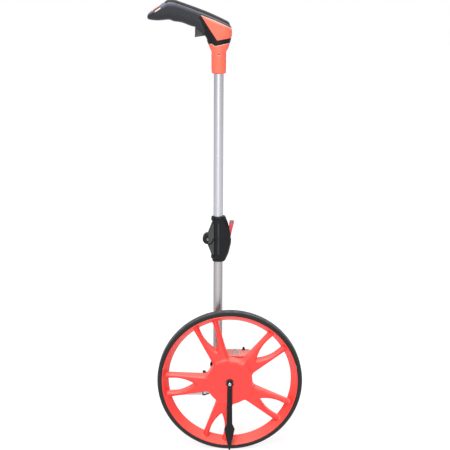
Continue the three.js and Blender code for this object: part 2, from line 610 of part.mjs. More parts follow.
function upperHousing() {
  const ears = hingeDisc(KNUCKLE_R, -KNUCKLE_HALF, KNUCKLE_HALF);
  const innerHalf = block(FOLD_X, 0, -WING_HALF, WING_HALF, -KNUCKLE_R, KNUCKLE_R);
  const thick = hingeDisc(KNUCKLE_R, -WING_HALF, WING_HALF).intersect(innerHalf);
  return cut(
    join(loft(UPPER_STATIONS, "z", 16).intersect(taper), web(1), ears, thick, clampEar(CLAMP_UP)),
    hingeDisc(KNUCKLE_R + 0.6, -EAR - GAP, EAR + GAP),
    post(UPPER_TUBE_R + GAP, UPPER_BOTTOM - FOLD_Z - GAP, 60, 28),
    post(3, -10, 10, 12),
    block(SLOT_X, 40, -SLOT_HALF, SLOT_HALF, -5, 31),
    hingeDisc(HINGE_PIN_R + PLAY, -20, 20),
    disc(1.5, -LEVER_PIN_HALF - GAP, LEVER_PIN_HALF + GAP, 12).translate(LEVER_PIVOT),
    clampHole(CLAMP_UP),
  );
}

function lowerHousing() {
  return cut(
    join(loft(LOWER_STATIONS, "z", 16).intersect(taper), web(-1), clampEar(CLAMP_DOWN)),
    hingeDisc(KNUCKLE_R + 0.6, -30, -EAR),
    hingeDisc(KNUCKLE_R + 0.6, EAR, 30),
  ).add(hingeDisc(KNUCKLE_R, -EAR, EAR)).subtract(join(
    post(LOWER_TUBE_R + GAP, -60, LOWER_TOP - FOLD_Z + GAP, 28),
    post(3, -10, 10, 12),
    block(SLOT_X - 0.5, 27.2, -SLOT_HALF, SLOT_HALF, -8, 5),
    hingeDisc(HINGE_PIN_R + PLAY, -20, 20),
    clampHole(CLAMP_DOWN),
  ));
}

add(foldFrame, "upper_joint_housing", upperHousing(), BLACK);
add(foldFrame, "lower_joint_housing", lowerHousing(), BLACK);
const hingeShank = hingeDisc(HINGE_PIN_R, -WING_HALF - 0.5, WING_HALF + 3.5);
add(foldFrame, "hinge_bolt", join(hingeShank, hingeDisc(2.8, -WING_HALF - 2, -WING_HALF - 0.4)), STEEL);
const hingeNut = plate(hexagon(4.4), WING_HALF + 0.4, WING_HALF + 3).translate([FOLD_X, 0, 0]);
add(foldFrame, "hinge_nut", cut(hingeNut, hingeDisc(HINGE_PIN_R + GAP, 0, 40)), STEEL);

// The lock lever leans out of its slot so that a finger can hook it. Its nose reaches below the pivot.
const leverFrame = group(...LEVER_PIVOT, foldFrame);
const leverOutline = rounded([[-4, -3], [-3.2, -9], [1, -9], [3.8, -3], [5.7, 8], [10, 26], [11.6, 33.6],
  [1.2, 33.6], [-0.4, 20], [-4, 5]], 1.6);
add(leverFrame, "lock_lever", cut(
  plate(leverOutline, -5.2, 5.2),
  disc(1.5 + PLAY, -20, 20, 12),
  block(-3.6, 8, -2.6, 2.6, -3.6, 3.6),
), RED);
add(leverFrame, "lever_pin", disc(1.25, -LEVER_PIN_HALF, LEVER_PIN_HALF, 12), STEEL);
add(leverFrame, "lever_spring", coil(2.4, 0.45, 3, -2.3), STEEL);
const clampShank = disc(1.2, -CLAMP_HALF - 1, CLAMP_HALF - 1, 12);
const clampBolt = join(clampShank, disc(2.6, -CLAMP_HALF - 1.8, -CLAMP_HALF - GAP, 16));
add(foldFrame, "upper_clamp_bolt", clampBolt.translate([CLAMP_X, 0, CLAMP_UP]), STEEL);
add(foldFrame, "lower_clamp_bolt", clampBolt.translate([CLAMP_X, 0, CLAMP_DOWN]), STEEL);

// ---------------------------------------------------------------- handle

// A pistol grip on a neck. Two orange half shells meet in the middle plane; a rubber grip, a top strip and a
// band are let into their surface, and a brake trigger hangs under the neck.
const handleFrame = group(TUBE_X, TUBE_Y, NECK_Z);
const SKIN = 2.4; // thickness of the pieces let into the surface
const GRIP_STATIONS = [[-148.2, 113.6, 118.6, 3], [-146.8, 111.8, 121.8, 8], [-142, 110.4, 127, 12],
  [-134, 109.4, 133.8, 14.6], [-126, 109, 139.2, 15.8], [-115, 109.9, 145, 16.4],
  [-104, 110.8, 151.4, 16.6], [-93, 107.5, 151.3, 16.4], [-80, 105.8, 147.6, 16], [-60, 99, 140.8, 15.4],
  [-48, 95, 136.7, 15.2], [-38, 87, 133, 15.4], [-26, 80, 128.6, 15.8], [-5, 72, 119.7, 16.4],
  [12, 70, 111.8, 16.2], [20, 73, 107.4, 15], [24.6, 80, 98.4, 12]];
const NECK_STATIONS = [[0.4, -11.4, 11.4, 11.4], [2, -14, 14.2, 14], [4, -15.4, 15.4, 15.4],
  [38, -15.6, 15.6, 15.6], [40, -15.2, 15.4, 15.2], [53.4, -19, 20, 15.4], [62, -22.4, 22.6, 15.8],
  [74, -26.8, 25.8, 16.2], [85, -33, 26.8, 16.4], [92, -36, 25.6, 16.2], [96, -30, 23.6, 15]];
function body(inset) {
  return join(loft(drawnIn(GRIP_STATIONS, inset), "x"), loft(drawnIn(NECK_STATIONS, inset), "z"));
}

const through = (pairs) => plate(polygon(pairs), -30, 30);
const STRIP_LINE = [[24, 99.6], [2.2, 110.2], [-18.5, 118.9], [-39.2, 127], [-59.8, 134.5], [-80.4, 141.6],
  [-92.8, 145.6], [-104, 146.4], [-110, 143]];
const stripRegion = through([...STRIP_LINE, [-113, 158], [30, 158], [30, 100]]);
const panelRegion = through([[-37.7, 120.8], [-8.1, 110], [30, 93], [30, 75.2], [-3.4, 68.6], [-18.4, 90.7]]);
const BAND_EDGE = [[-24, 61.5], [-14.2, 62.6], [-7.5, 57.7], [40, 68.3]];
const bandRegion = through([[-36.8, 119], [-40.6, 114.6], [-35.4, 105], [-28, 88], [-29.6, 82.4], [-40, 80],
  [-40, 61.5], ...BAND_EDGE, [40, 76.9], [-3.4, 68.6], [-18.4, 90.7]]);
const buttRegion = through([[-160, 128], [-139, 126.6], [-134, 130.6], [-120, 139.4], [-117, 160],
  [-160, 160]]);
const neckRegion = through([[-40, 61.5], ...BAND_EDGE, [40, -10], [-40, -10]]);
const slotOutline = rounded([[-134, 128.2], [-121, 136.8], [-119.4, 133.4], [-132.4, 125.2]], 1.4);
const lanyardSlot = plate(slotOutline, -30, 30);

function grown(made, by) {
  const steps = [-by, 0, by];
  return join(...steps.flatMap((dx) => steps.map((dz) => made.translate([dx, 0, dz]))));
}

const TRIGGER_PIVOT = [-30, 0, 88];
const TRIGGER_HALF = 5;
const pocketOutline = polygon([[-51, 70], [-21.5, 70], [-21.5, 95], [-30, 103], [-51, 103]]);
const triggerPocket = plate(pocketOutline, -TRIGGER_HALF - 0.5, TRIGGER_HALF + 0.5);
const TRIGGER_PIN_HALF = 7.4;
const pinHole = disc(1.25, -TRIGGER_PIN_HALF - GAP, TRIGGER_PIN_HALF + GAP, 12).translate(TRIGGER_PIVOT);
const HANDLE_HOLLOW = [[-9, 40], [9, 40], [18, 76], [18, 94], [-42, 118], [-88, 137], [-110, 134],
  [-110, 118], [-88, 115], [-50, 106], [-22, 92]];
const HANDLE_SCREWS = [[-96, 130], [8, 88]]; // put in from the back
const SCREW_SEAT = 9.4;
const screwRecesses = HANDLE_SCREWS.map(([x, z]) => disc(3, SCREW_SEAT, 30, 12).translate([x, 0, z]));

// What the half shells are made of, before they are split: a hollow core that runs under the skin pieces, and
// the parts of it that come up to the surface.
function core(outer) {
  const deep = body(SKIN + 2 * GAP);
  const hollow = plate(polygon(HANDLE_HOLLOW), -10, 10);
  const surface = join(panelRegion, neckRegion, buttRegion).subtract(grown(stripRegion, GAP));
  const bosses = HANDLE_SCREWS.map(([x, z]) => disc(3.6, -12, 12, 12).translate([x, 0, z]));
  return cut(
    join(cut(join(deep, outer.intersect(surface)), hollow), ...bosses),
    post(UPPER_TUBE_R + GAP, -5, UPPER_TOP - NECK_Z + GAP, 28),
    lanyardSlot,
    triggerPocket,
    pinHole,
    ...HANDLE_SCREWS.map(([x, z]) => disc(1.5, -SCREW_SEAT - 1, SCREW_SEAT + 1, 10).translate([x, 0, z])),
    ...screwRecesses,
  );
}

const outer = body(0);
const handleCore = core(outer);
add(handleFrame, "handle_front_shell", handleCore.intersect(block(-200, 60, -40, -SEAM, -20, 200)), ORANGE);
add(handleFrame, "handle_rear_shell", handleCore.intersect(block(-200, 60, SEAM, 40, -20, 200)), ORANGE);
HANDLE_SCREWS.forEach(([x, z], i) => {
  add(handleFrame, `handle_screw_${i + 1}`, screw(2.7, 1.2, SCREW_SEAT + 3, -21).translate([x, 0, z]), STEEL);
});

const skin = cut(outer, body(SKIN), triggerPocket, lanyardSlot, ...screwRecesses);
const aboveNeck = through([[-170, 80], [-170, 170], [40, 170], [40, 85], [-25, 100], [-25, 80]]);
const inlays = [stripRegion, bandRegion, panelRegion, buttRegion].map((region) => grown(region, GAP));
const gripRegion = cut(aboveNeck, ...inlays);
const bandOnly = cut(bandRegion, grown(panelRegion, GAP), grown(stripRegion, GAP));
add(handleFrame, "grip_rubber", skin.intersect(gripRegion), RUBBER);
add(handleFrame, "top_strip", skin.intersect(stripRegion), BLACK);
add(handleFrame, "neck_band", skin.intersect(bandOnly), BLACK);

// ---------------------------------------------------------------- brake trigger

const triggerFrame = group(...TRIGGER_PIVOT, handleFrame);
const triggerOutline = rounded([[-20, -12.2], [4.2, -8.4], [5.4, 3], [-3, 8.6], [-19.4, 9]], 1.4);
add(triggerFrame, "trigger", cut(
  plate(triggerOutline, -TRIGGER_HALF, TRIGGER_HALF, 0.8),
  disc(1.25 + PLAY, -20, 20, 12),
  block(-4, 4, -2.6, 2.6, -4, 12),
), BLACK);
add(triggerFrame, "trigger_pin", disc(1, -TRIGGER_PIN_HALF, TRIGGER_PIN_HALF, 12), STEEL);
add(triggerFrame, "trigger_spring", coil(2.4, 0.45, 3, -2.3), STEEL);

export default whole;
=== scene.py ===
"""The looks of a folding measuring wheel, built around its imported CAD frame.

Shapes are worked out in millimetres and stored in metres. Moulded parts are distance fields sampled on a
grid and turned into a surface. The tyre, the tubes and the drums are profiles turned round an axis.
"""

import itertools
import json
import math

import bmesh
import bpy
import numpy as np
from mathutils import Matrix, Vector


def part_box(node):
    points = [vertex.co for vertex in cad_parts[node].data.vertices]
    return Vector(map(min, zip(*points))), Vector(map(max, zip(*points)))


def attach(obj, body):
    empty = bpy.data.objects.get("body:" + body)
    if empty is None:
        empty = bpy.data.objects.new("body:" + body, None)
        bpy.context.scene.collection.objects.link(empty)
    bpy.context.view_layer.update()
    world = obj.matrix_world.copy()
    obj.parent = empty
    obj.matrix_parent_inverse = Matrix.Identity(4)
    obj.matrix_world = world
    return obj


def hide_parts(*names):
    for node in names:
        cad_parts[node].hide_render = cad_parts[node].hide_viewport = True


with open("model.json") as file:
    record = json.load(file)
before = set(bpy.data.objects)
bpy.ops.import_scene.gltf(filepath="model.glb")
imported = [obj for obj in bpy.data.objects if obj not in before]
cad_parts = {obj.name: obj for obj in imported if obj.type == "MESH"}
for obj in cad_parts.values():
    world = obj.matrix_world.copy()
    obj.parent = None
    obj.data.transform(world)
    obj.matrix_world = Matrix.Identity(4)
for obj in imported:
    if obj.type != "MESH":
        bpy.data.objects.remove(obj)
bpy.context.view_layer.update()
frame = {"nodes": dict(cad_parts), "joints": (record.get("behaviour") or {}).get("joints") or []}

# ---- sizes from the frame, in millimetres

MM = 0.001
JOINTS = {joint["name"]: joint for joint in frame["joints"]}


def joint_at(name):
    return np.array(JOINTS[name]["pos_m"]) / MM


def box(node, origin=0.0):
    """A CAD node's lowest and highest corner, measured from the origin."""
    low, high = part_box(node)
    return np.array(low) / MM - origin, np.array(high) / MM - origin


def middle(node):
    low, high = box(node)
    return (low + high) / 2


TYRE_LOW, TYRE_HIGH = box("tyre")
WHEEL_R = (TYRE_HIGH[2] - TYRE_LOW[2]) / 2
AXLE = np.array([0.0, 0.0, joint_at("wheel_spin")[2]])
SPIDER_LOW, SPIDER_HIGH = box("wheel_spider")
RIM_R = (SPIDER_HIGH[2] - SPIDER_LOW[2]) / 2
HUB_FRONT, HUB_BACK = SPIDER_LOW[1], SPIDER_HIGH[1]
POLE = np.array([*middle("lower_tube")[:2], 0.0])
FOLD = joint_at("pole_fold")
NECK = np.array([POLE[0], POLE[1], box("handle_front_shell")[0][2]])

# ---- fields: signed distances on a grid


class Grid:
    """Sample points that fill a box. The three axes broadcast against each other."""

    def __init__(self, low, high, step):
        self.low = np.array(low, float) - 2 * step
        self.step = step
        axes = [np.arange(a, b + 3 * step, step, dtype=np.float32) for a, b in zip(self.low, high)]
        self.shape = tuple(len(axis) for axis in axes)
        self.axes = np.meshgrid(*axes, indexing="ij", sparse=True)


def union(*fields, soft=0.0):
    """The nearest of the fields, with a fillet of about `soft` where two meet."""
    result = fields[0]
    for field in fields[1:]:
        if soft:
            share = np.clip(0.5 + 0.5 * (field - result) / soft, 0, 1)
            result = field * (1 - share) + result * share - soft * share * (1 - share)
        else:
            result = np.minimum(result, field)
    return result


def common(*fields, soft=0.0):
    """What lies in all the fields, with its edges rounded by about `soft`."""
    return -union(*[-field for field in fields], soft=soft)


def cut(field, *tools, soft=0.0):
    return common(field, *[-tool for tool in tools], soft=soft)


def slab(value, low, high):
    return np.abs(value - (low + high) / 2) - (high - low) / 2


def rod(u, v, at_u, at_v, radius):
    return np.hypot(u - at_u, v - at_v) - radius


def pin(u, v, centre, radius):
    """A rod along Y through a point in space."""
    return rod(u, v, centre[0], centre[2], radius)


def bar(u, v, start, end, radius):
    """A straight stroke with round ends, in two dimensions."""
    (au, av), (bu, bv) = start, end
    du, dv = bu - au, bv - av
    share = np.clip(((u - au) * du + (v - av) * dv) / (du * du + dv * dv), 0, 1)
    return np.hypot(u - au - du * share, v - av - dv * share) - radius


def outline(u, v, corners, radius=0):
    """Distance to a closed polygon in two dimensions, with its corners rounded if a radius is given."""
    if radius:
        corners = rounded(corners, radius)
    shape = np.broadcast(u, v).shape
    inside = np.zeros(shape, bool)
    nearest = np.full(shape, np.inf, np.float32)
    for (au, av), (bu, bv) in zip(corners, [*corners[1:], corners[0]]):
        du, dv = bu - au, bv - av
        pu, pv = u - au, v - av
        share = np.clip((pu * du + pv * dv) / (du * du + dv * dv), 0, 1)
        nearest = np.minimum(nearest, (pu - du * share) ** 2 + (pv - dv * share) ** 2)
        if dv:
            inside ^= ((av <= v) != (bv <= v)) & (pu < du * pv / dv)
    return np.where(inside, -1, 1) * np.sqrt(nearest)


def flowing(points, steps=6):
    """More points on a smooth curve through the given ones."""
    points = [np.array(point, float) for point in points]
    last = len(points) - 1
    made = []
    for i in range(last):
        a, b, c, d = points[max(i - 1, 0)], points[i], points[i + 1], points[min(i + 2, last)]
        for step in range(steps):
            t = step / steps
            made.append(0.5 * (2 * b + (c - a) * t + (2 * a - 5 * b + 4 * c - d) * t**2
                               + (3 * b - a - 3 * c + d) * t**3))
    return [tuple(point) for point in [*made, points[last]]]


def rounded(corners, radius, steps=4):
    """A closed outline with its corners rounded."""
    corners = [np.array(corner, float) for corner in corners]
    made = []
    for i, corner in enumerate(corners):
        before, after = corners[i - 1], corners[(i + 1) % len(corners)]
        reach = min(radius, np.linalg.norm(before - corner) / 2.1, np.linalg.norm(after - corner) / 2.1)
        start = corner + (before - corner) / np.linalg.norm(before - corner) * reach
        end = corner + (after - corner) / np.linalg.norm(after - corner) * reach
        for step in range(steps + 1):
            t = step / steps
            made.append(tuple((1 - t) ** 2 * start + 2 * t * (1 - t) * corner + t**2 * end))
    return made


def eased(at, stations, column):
    """A value given at stations along an axis, read between them without kinks or overshoot."""
    known = np.array([station[0] for station in stations], float)
    values = np.array([station[column] for station in stations], float)
    rises = np.diff(values) / np.diff(known)
    same = rises[1:] * rises[:-1] > 0
    slopes = np.zeros_like(values)
    after, before = (np.where(same, side, 1) for side in (rises[1:], rises[:-1]))
    slopes[1:-1] = np.where(same, 2 / (1 / after + 1 / before), 0)
    slopes[0], slopes[-1] = rises[0], rises[-1]
    clamped = np.clip(at, known[0], known[-1])
    i = np.clip(np.searchsorted(known, clamped, side="right") - 1, 0, len(known) - 2)
    gap = known[i + 1] - known[i]
    t = (clamped - known[i]) / gap
    return ((2 * t**3 - 3 * t**2 + 1) * values[i] + (t**3 - 2 * t**2 + t) * gap * slopes[i]
            + (3 * t**2 - 2 * t**3) * values[i + 1] + (t**3 - t**2) * gap * slopes[i + 1])


def loft(at, across, y, stations, power=2.6):
    """A body of rounded sections. A station is [place, low, high, half width]."""
    low, high, half = (eased(at, stations, column) for column in (1, 2, 3))
    size = np.maximum((high - low) / 2, 0.3)
    half = np.maximum(half, 0.3)
    spread = (np.abs((across - (low + high) / 2) / size) ** power + np.abs(y / half) ** power) ** (1 / power)
    return common((spread - 1) * np.minimum(size, half), slab(at, stations[0][0], stations[-1][0]))


def levelled(field, step):
    """The same surface, with values that are true distances near it."""
    slopes = np.gradient(field, step)
    size = np.sqrt(sum(slope**2 for slope in slopes))
    return field / np.clip(size, 0.25, 4)


def surface(field, grid):
    """The field's zero surface as points and four-sided faces (naive surface nets)."""
    inside = field < 0
    cells = tuple(size - 1 for size in field.shape)
    count = np.zeros(cells, np.uint8)
    total = np.zeros((3, *cells), np.float32)
    crossings = []
    for axis in range(3):
        near = [slice(None)] * 3
        far = [slice(None)] * 3
        near[axis], far[axis] = slice(None, -1), slice(1, None)
        near, far = tuple(near), tuple(far)
        index = np.argwhere(inside[near] != inside[far])
        ahead = index.copy()
        ahead[:, axis] += 1
        a, b = field[tuple(index.T)], field[tuple(ahead.T)]
        point = index.astype(np.float32)
        point[:, axis] += a / (a - b)
        crossings.append((axis, index, inside[tuple(index.T)]))
        u, v = [k for k in range(3) if k != axis]
        for du in (0, 1):
            for dv in (0, 1):
                cell = index.copy()
                cell[:, u] -= du
                cell[:, v] -= dv
                kept = ((cell >= 0) & (cell < cells)).all(axis=1)
                where = tuple(cell[kept].T)
                np.add.at(count, where, 1)
                for k in range(3):
                    np.add.at(total[k], where, point[kept, k])
    used = np.argwhere(count > 0)
    where = tuple(used.T)
    number = np.full(cells, -1, np.int32)
    number[where] = np.arange(len(used))
    points = np.stack([total[k][where] / count[where] for k in range(3)], axis=1) * grid.step + grid.low
    faces = []
    for axis, index, starts_inside in crossings:
        u, v = (axis + 1) % 3, (axis + 2) % 3
        kept = (index[:, u] > 0) & (index[:, v] > 0) & (index[:, u] < cells[u]) & (index[:, v] < cells[v])
        index, flip = index[kept], ~starts_inside[kept]
        corners = []
        for du, dv in ((1, 1), (0, 1), (0, 0), (1, 0)):
            cell = index.copy()
            cell[:, u] -= du
            cell[:, v] -= dv
            corners.append(number[tuple(cell.T)])
        quads = np.stack(corners, axis=1)
        quads[flip] = quads[flip][:, ::-1]
        faces.append(quads)
    return points, np.concatenate(faces)


def sampled(field, grid, points):
    """The field between its grid points."""
    place = (points - grid.low) / grid.step
    cell = np.clip(np.floor(place).astype(int), 0, np.array(field.shape) - 2)
    share = place - cell
    value = 0.0
    for corner in itertools.product((0, 1), repeat=3):
        weight = np.prod(np.where(corner, share, 1 - share), axis=1)
        value = value + weight * field[tuple((cell + corner).T)]
    return value


def snapped(points, faces, field, grid):
    """Evens out a surface's points, then puts them back on the field's zero."""
    total = np.zeros_like(points)
    count = np.zeros(len(points))
    for k in range(4):
        a, b = faces[:, k], faces[:, (k + 1) % 4]
        for one, two in ((a, b), (b, a)):
            count += np.bincount(one, minlength=len(points))
            for i in range(3):
                total[:, i] += np.bincount(one, weights=points[two, i], minlength=len(points))
    points = 0.4 * points + 0.6 * total / np.maximum(count, 1)[:, None]
    reach = 0.5 * grid.step
    value = sampled(field, grid, points)
    slope = np.stack([sampled(field, grid, points + step) - sampled(field, grid, points - step)
                      for step in np.eye(3) * reach], axis=1) / (2 * reach)
    move = value[:, None] * slope / np.maximum((slope**2).sum(axis=1), 0.2)[:, None]
    return points - np.clip(move, -grid.step, grid.step)


def carved(grid, field):
    """The shape a field holds."""
    field = np.ascontiguousarray(np.broadcast_to(field, grid.shape), np.float32)
    points, faces = surface(field, grid)
    return snapped(points, faces, field, grid), faces


# ---- turned shapes


def revolve(profile, steps):
    """A closed profile of (radius, y) pairs turned round the Y axis, as points and faces."""
    angles = [2 * math.pi * i / steps for i in range(steps)]
    points = [(radius * math.cos(a), y, radius * math.sin(a)) for radius, y in profile for a in angles]
    faces = []
    for ring in range(len(profile)):
        this, after = ring * steps, (ring + 1) % len(profile) * steps
        for i in range(steps):
            j = (i + 1) % steps
            faces.append([this + i, this + j, after + j, after + i])
    return np.array(points, float), faces


def upright(shape):
    """A shape about the Y axis stood along Z."""
    points, faces = shape
    return points[:, [0, 2, 1]] * (1, -1, 1), faces


def moved(shape, offset):
    points, faces = shape
    return points + np.array(offset, float), faces


def together(*shapes):
    points, faces = [], []
    for part_points, part_faces in shapes:
        start = sum(len(p) for p in points)
        points.append(np.asarray(part_points, float))
        faces += [[corner + start for corner in face] for face in part_faces]
    return np.concatenate(points), faces


# ---- pieces


def build_mesh(name, points, faces):
    mesh = bpy.data.meshes.new(name)
    points = np.asarray(points, float) * MM
    if isinstance(faces, np.ndarray):
        mesh.vertices.add(len(points))
        mesh.vertices.foreach_set("co", points.astype(np.float32).ravel())
        mesh.loops.add(faces.size)
        mesh.loops.foreach_set("vertex_index", faces.astype(np.int32).ravel())
        mesh.polygons.add(len(faces))
        mesh.polygons.foreach_set("loop_start", np.arange(0, faces.size, faces.shape[1], dtype=np.int32))
        mesh.update(calc_edges=True)
    else:
        mesh.from_pydata(points.tolist(), [], faces)
    mesh.validate()
    mesh.polygons.foreach_set("use_smooth", [True] * len(mesh.polygons))
    mesh.update()
    return mesh


def placed(name, data):
    """A new object with the given data, in the scene."""
    obj = bpy.data.objects.new(name, data)
    bpy.context.scene.collection.objects.link(obj)
    return obj


def piece(name, shape, body, material, nodes=(), angle=None, at=(0, 0, 0)):
    """One visible piece: its mesh, finish, body, and the CAD nodes it stands for.

    angle is the crease angle in degrees, for shapes with sharp edges.
    """
    points, faces = shape
    obj = placed(name, build_mesh(name, np.asarray(points, float) + np.array(at, float), faces))
    if angle:
        obj.data.set_sharp_from_angle(angle=math.radians(angle))
    obj.data.materials.append(material)
    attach(obj, body)
    if nodes:
        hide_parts(*nodes)
    return obj


# ---- materials


class Nodes:
    """A short way to write a material's node graph."""

    def __init__(self, name):
        self.material = bpy.data.materials.new(name)
        self.material.use_nodes = True
        self.tree = self.material.node_tree
        self.tree.nodes.clear()
        self.output = self.tree.nodes.new("ShaderNodeOutputMaterial")
        self.shader = self.tree.nodes.new("ShaderNodeBsdfPrincipled")
        self.link(self.shader.outputs[0], self.output.inputs["Surface"])
        self.place = self.tree.nodes.new("ShaderNodeTexCoord").outputs["Object"]

    def link(self, source, target):
        self.tree.links.new(source, target)

    def feed(self, socket, value):
        """Links a socket to another one, or gives it a fixed value."""
        if isinstance(value, bpy.types.NodeSocket):
            self.link(value, socket)
        else:
            socket.default_value = value

    def node(self, kind, inputs=(), **settings):
        made = self.tree.nodes.new(kind)
        for key, value in settings.items():
            setattr(made, key, value)
        for key, value in dict(inputs).items():
            self.feed(made.inputs[key], value)
        return made

    def noise(self, per_metre, detail=2.0, stretch=(1, 1, 1)):
        mapping = self.node("ShaderNodeMapping", {"Vector": self.place, "Scale": stretch})
        return self.node("ShaderNodeTexNoise", {"Vector": mapping.outputs[0], "Scale": per_metre,
                                                "Detail": detail}).outputs[0]

    def ramp(self, value, low, high, start=0.0, end=1.0):
        made = self.node("ShaderNodeMapRange", {"Value": value, "From Min": low, "From Max": high,
                                                "To Min": start, "To Max": end})
        return made.outputs[0]

    def mix(self, share, a, b):
        made = self.node("ShaderNodeMix", data_type="RGBA")
        for number, value in ((0, share), (6, a), (7, b)):
            self.feed(made.inputs[number], value)
        return made.outputs[2]

    def add(self, a, b, operation="ADD"):
        made = self.node("ShaderNodeMath", operation=operation)
        for socket, value in zip(made.inputs, (a, b)):
            self.feed(socket, value)
        return made.outputs[0]

    def bump(self, height, depth_mm):
        made = self.node("ShaderNodeBump", {"Height": height, "Distance": depth_mm * MM})
        self.link(made.outputs[0], self.shader.inputs["Normal"])

    def aslant(self, low, high):
        """0 where the surface is seen face on, 1 where it is seen aslant."""
        return self.ramp(self.node("ShaderNodeLayerWeight", {"Blend": 0.5}).outputs["Facing"], low, high)

    def upward(self, low, high):
        """1 where the surface looks up, 0 where it doesn't."""
        normal = self.node("ShaderNodeNewGeometry").outputs["Normal"]
        return self.ramp(self.node("ShaderNodeSeparateXYZ", {"Vector": normal}).outputs[2], low, high)

    def faced(self, low, high):
        """1 where the surface looks straight along Y, either way, and 0 where it turns from it."""
        normal = self.node("ShaderNodeNewGeometry").outputs["Normal"]
        across = self.node("ShaderNodeSeparateXYZ", {"Vector": normal}).outputs[1]
        return self.ramp(self.add(across, 0.0, "ABSOLUTE"), low, high)

    def between(self, nearest, furthest):
        """1 where the distance in mm to the pole's middle plane lies between two values, and 0 elsewhere."""
        depth = self.node("ShaderNodeSeparateXYZ", {"Vector": self.place}).outputs[1]
        depth = self.add(self.add(depth, POLE[1] * MM, "SUBTRACT"), 0.0, "ABSOLUTE")
        beyond = self.add(depth, nearest * MM, "GREATER_THAN")
        within = self.add(depth, furthest * MM, "LESS_THAN")
        return self.add(beyond, within, "MULTIPLY")

    def edges(self):
        """1 on outward edges, 0 on flats."""
        return self.ramp(self.node("ShaderNodeNewGeometry").outputs["Pointiness"], 0.52, 0.62)

    def set(self, **inputs):
        for key, value in inputs.items():
            self.feed(self.shader.inputs[key.replace("_", " ")], value)
        return self.material


def linear(r, g, b):
    """A screen colour of 0 to 255 as the light it stands for."""
    share = [v / 255 for v in (r, g, b)]
    return (*[v / 12.92 if v < 0.04045 else ((v + 0.055) / 1.055) ** 2.4 for v in share], 1.0)


def moulded(name, color, roughness, grain_mm=0.35, grain_depth=0.03, worn=None, spread=0.12, gloss=0.5,
            side=None, upper=None, rise=(0.1, 0.75), flats=()):
    """Moulded plastic or rubber: a spark-eroded grain, faint flow marks and rubbed edges.

    side is the colour seen aslant: painted shade. upper is the colour of faces that look up: a painted
    highlight, and rise says how far up they look where it starts and where it is full. flats are faces that
    look straight along Y, with a painted reflection; each is a colour with the least and greatest distance in
    mm from the pole's middle.
    """
    n = Nodes(name)
    color = linear(*color)
    grain = n.noise(1000 / grain_mm, 3.0)
    flow = n.noise(22, 3.0)
    dark = tuple(c * (1 - spread) for c in color[:3]) + (1.0,)
    light = tuple(min(c * (1 + spread), 1.0) for c in color[:3]) + (1.0,)
    base = n.mix(n.ramp(flow, 0.3, 0.7), dark, light)
    # Painted shade: surfaces seen aslant turn to the side colour.
    if side:
        base = n.mix(n.aslant(0.06, 0.5), base, linear(*side))
    # Painted reflection: faces that look straight along Y, within a band of depth, turn lighter.
    for shade, nearest, furthest in flats:
        share = n.add(n.faced(0.984, 0.998), n.between(nearest, furthest), "MULTIPLY")
        base = n.mix(share, base, linear(*shade))
    # Painted highlight: faces that look up turn to the upper colour, as if lit from above.
    if upper:
        base = n.mix(n.upward(*rise), base, linear(*upper))
    if worn:
        patches = n.ramp(n.noise(180, 4.0), 0.45, 0.7)
        base = n.mix(n.add(n.edges(), n.add(patches, 0.5, "MULTIPLY"), "MULTIPLY"), base, linear(*worn))
    rough = n.add(n.ramp(grain, 0.3, 0.7, roughness - 0.05, roughness + 0.05),
                  n.ramp(flow, 0, 1, -0.04, 0.04))
    n.bump(grain, grain_depth)
    return n.set(Base_Color=base, Roughness=rough, Specular_IOR_Level=gloss)


def metal(name, color, roughness, stretch=(1, 1, 0.02), line_mm=0.25, side=1.0):
    """Bare metal with drawn lines along one axis and a few scuffs. Seen aslant it is dimmed by side, a
    painted shade.
    """
    n = Nodes(name)
    color = linear(*color)
    lines = n.noise(1000 / line_mm, 2.0, stretch)
    marks = n.noise(60, 5.0, (1, 1, 0.3))
    scuff = n.ramp(marks, 0.62, 0.7)
    dull = tuple(c * 0.8 for c in color[:3]) + (1.0,)
    base = n.mix(n.ramp(lines, 0.3, 0.7, 0, 0.5), color, dull)
    # Painted shade: the colour darkens towards the sides that are seen aslant.
    base = n.mix(n.aslant(0.02, 0.6), base, tuple(c * side for c in color[:3]) + (1.0,))
    rough = n.add(n.ramp(lines, 0.2, 0.8, roughness - 0.06, roughness + 0.06),
                  n.add(scuff, 0.05, "MULTIPLY"))
    n.bump(lines, 0.006)
    return n.set(Base_Color=base, Metallic=1.0, Roughness=rough)


def clear_plastic(name):
    n = Nodes(name)
    haze = n.noise(120, 3.0)
    n.bump(n.noise(400, 2.0), 0.004)
    # The pale base colour is partly the pane's haze and partly a painted highlight for the glare on the
    # window.
    return n.set(Base_Color=linear(236, 204, 194), Roughness=n.ramp(haze, 0.3, 0.7, 0.12, 0.24), IOR=1.49,
                 Transmission_Weight=0.55)


def tread_rubber(name):
    """Black tyre rubber, dusty and greyer on the tread than on the walls."""
    n = Nodes(name)
    grain = n.noise(2400, 3.0)
    split = n.node("ShaderNodeSeparateXYZ", {"Vector": n.place})
    height = n.add(split.outputs[2], AXLE[2] * MM, "SUBTRACT")
    reach = n.add(n.add(n.add(split.outputs[0], split.outputs[0], "MULTIPLY"),
                        n.add(height, height, "MULTIPLY")), 0.5, "POWER")
    tread = n.ramp(reach, (WHEEL_R - 1.6) * MM, (WHEEL_R - 0.3) * MM)
    dust = n.add(tread, n.ramp(n.noise(70, 5.0), 0.35, 0.7, 0.35, 1.0), "MULTIPLY")
    base = n.mix(dust, linear(26, 30, 30), linear(96, 98, 103))
    n.bump(grain, 0.05)
    return n.set(Base_Color=base, Roughness=n.ramp(grain, 0.3, 0.7, 0.55, 0.72), Specular_IOR_Level=0.4)
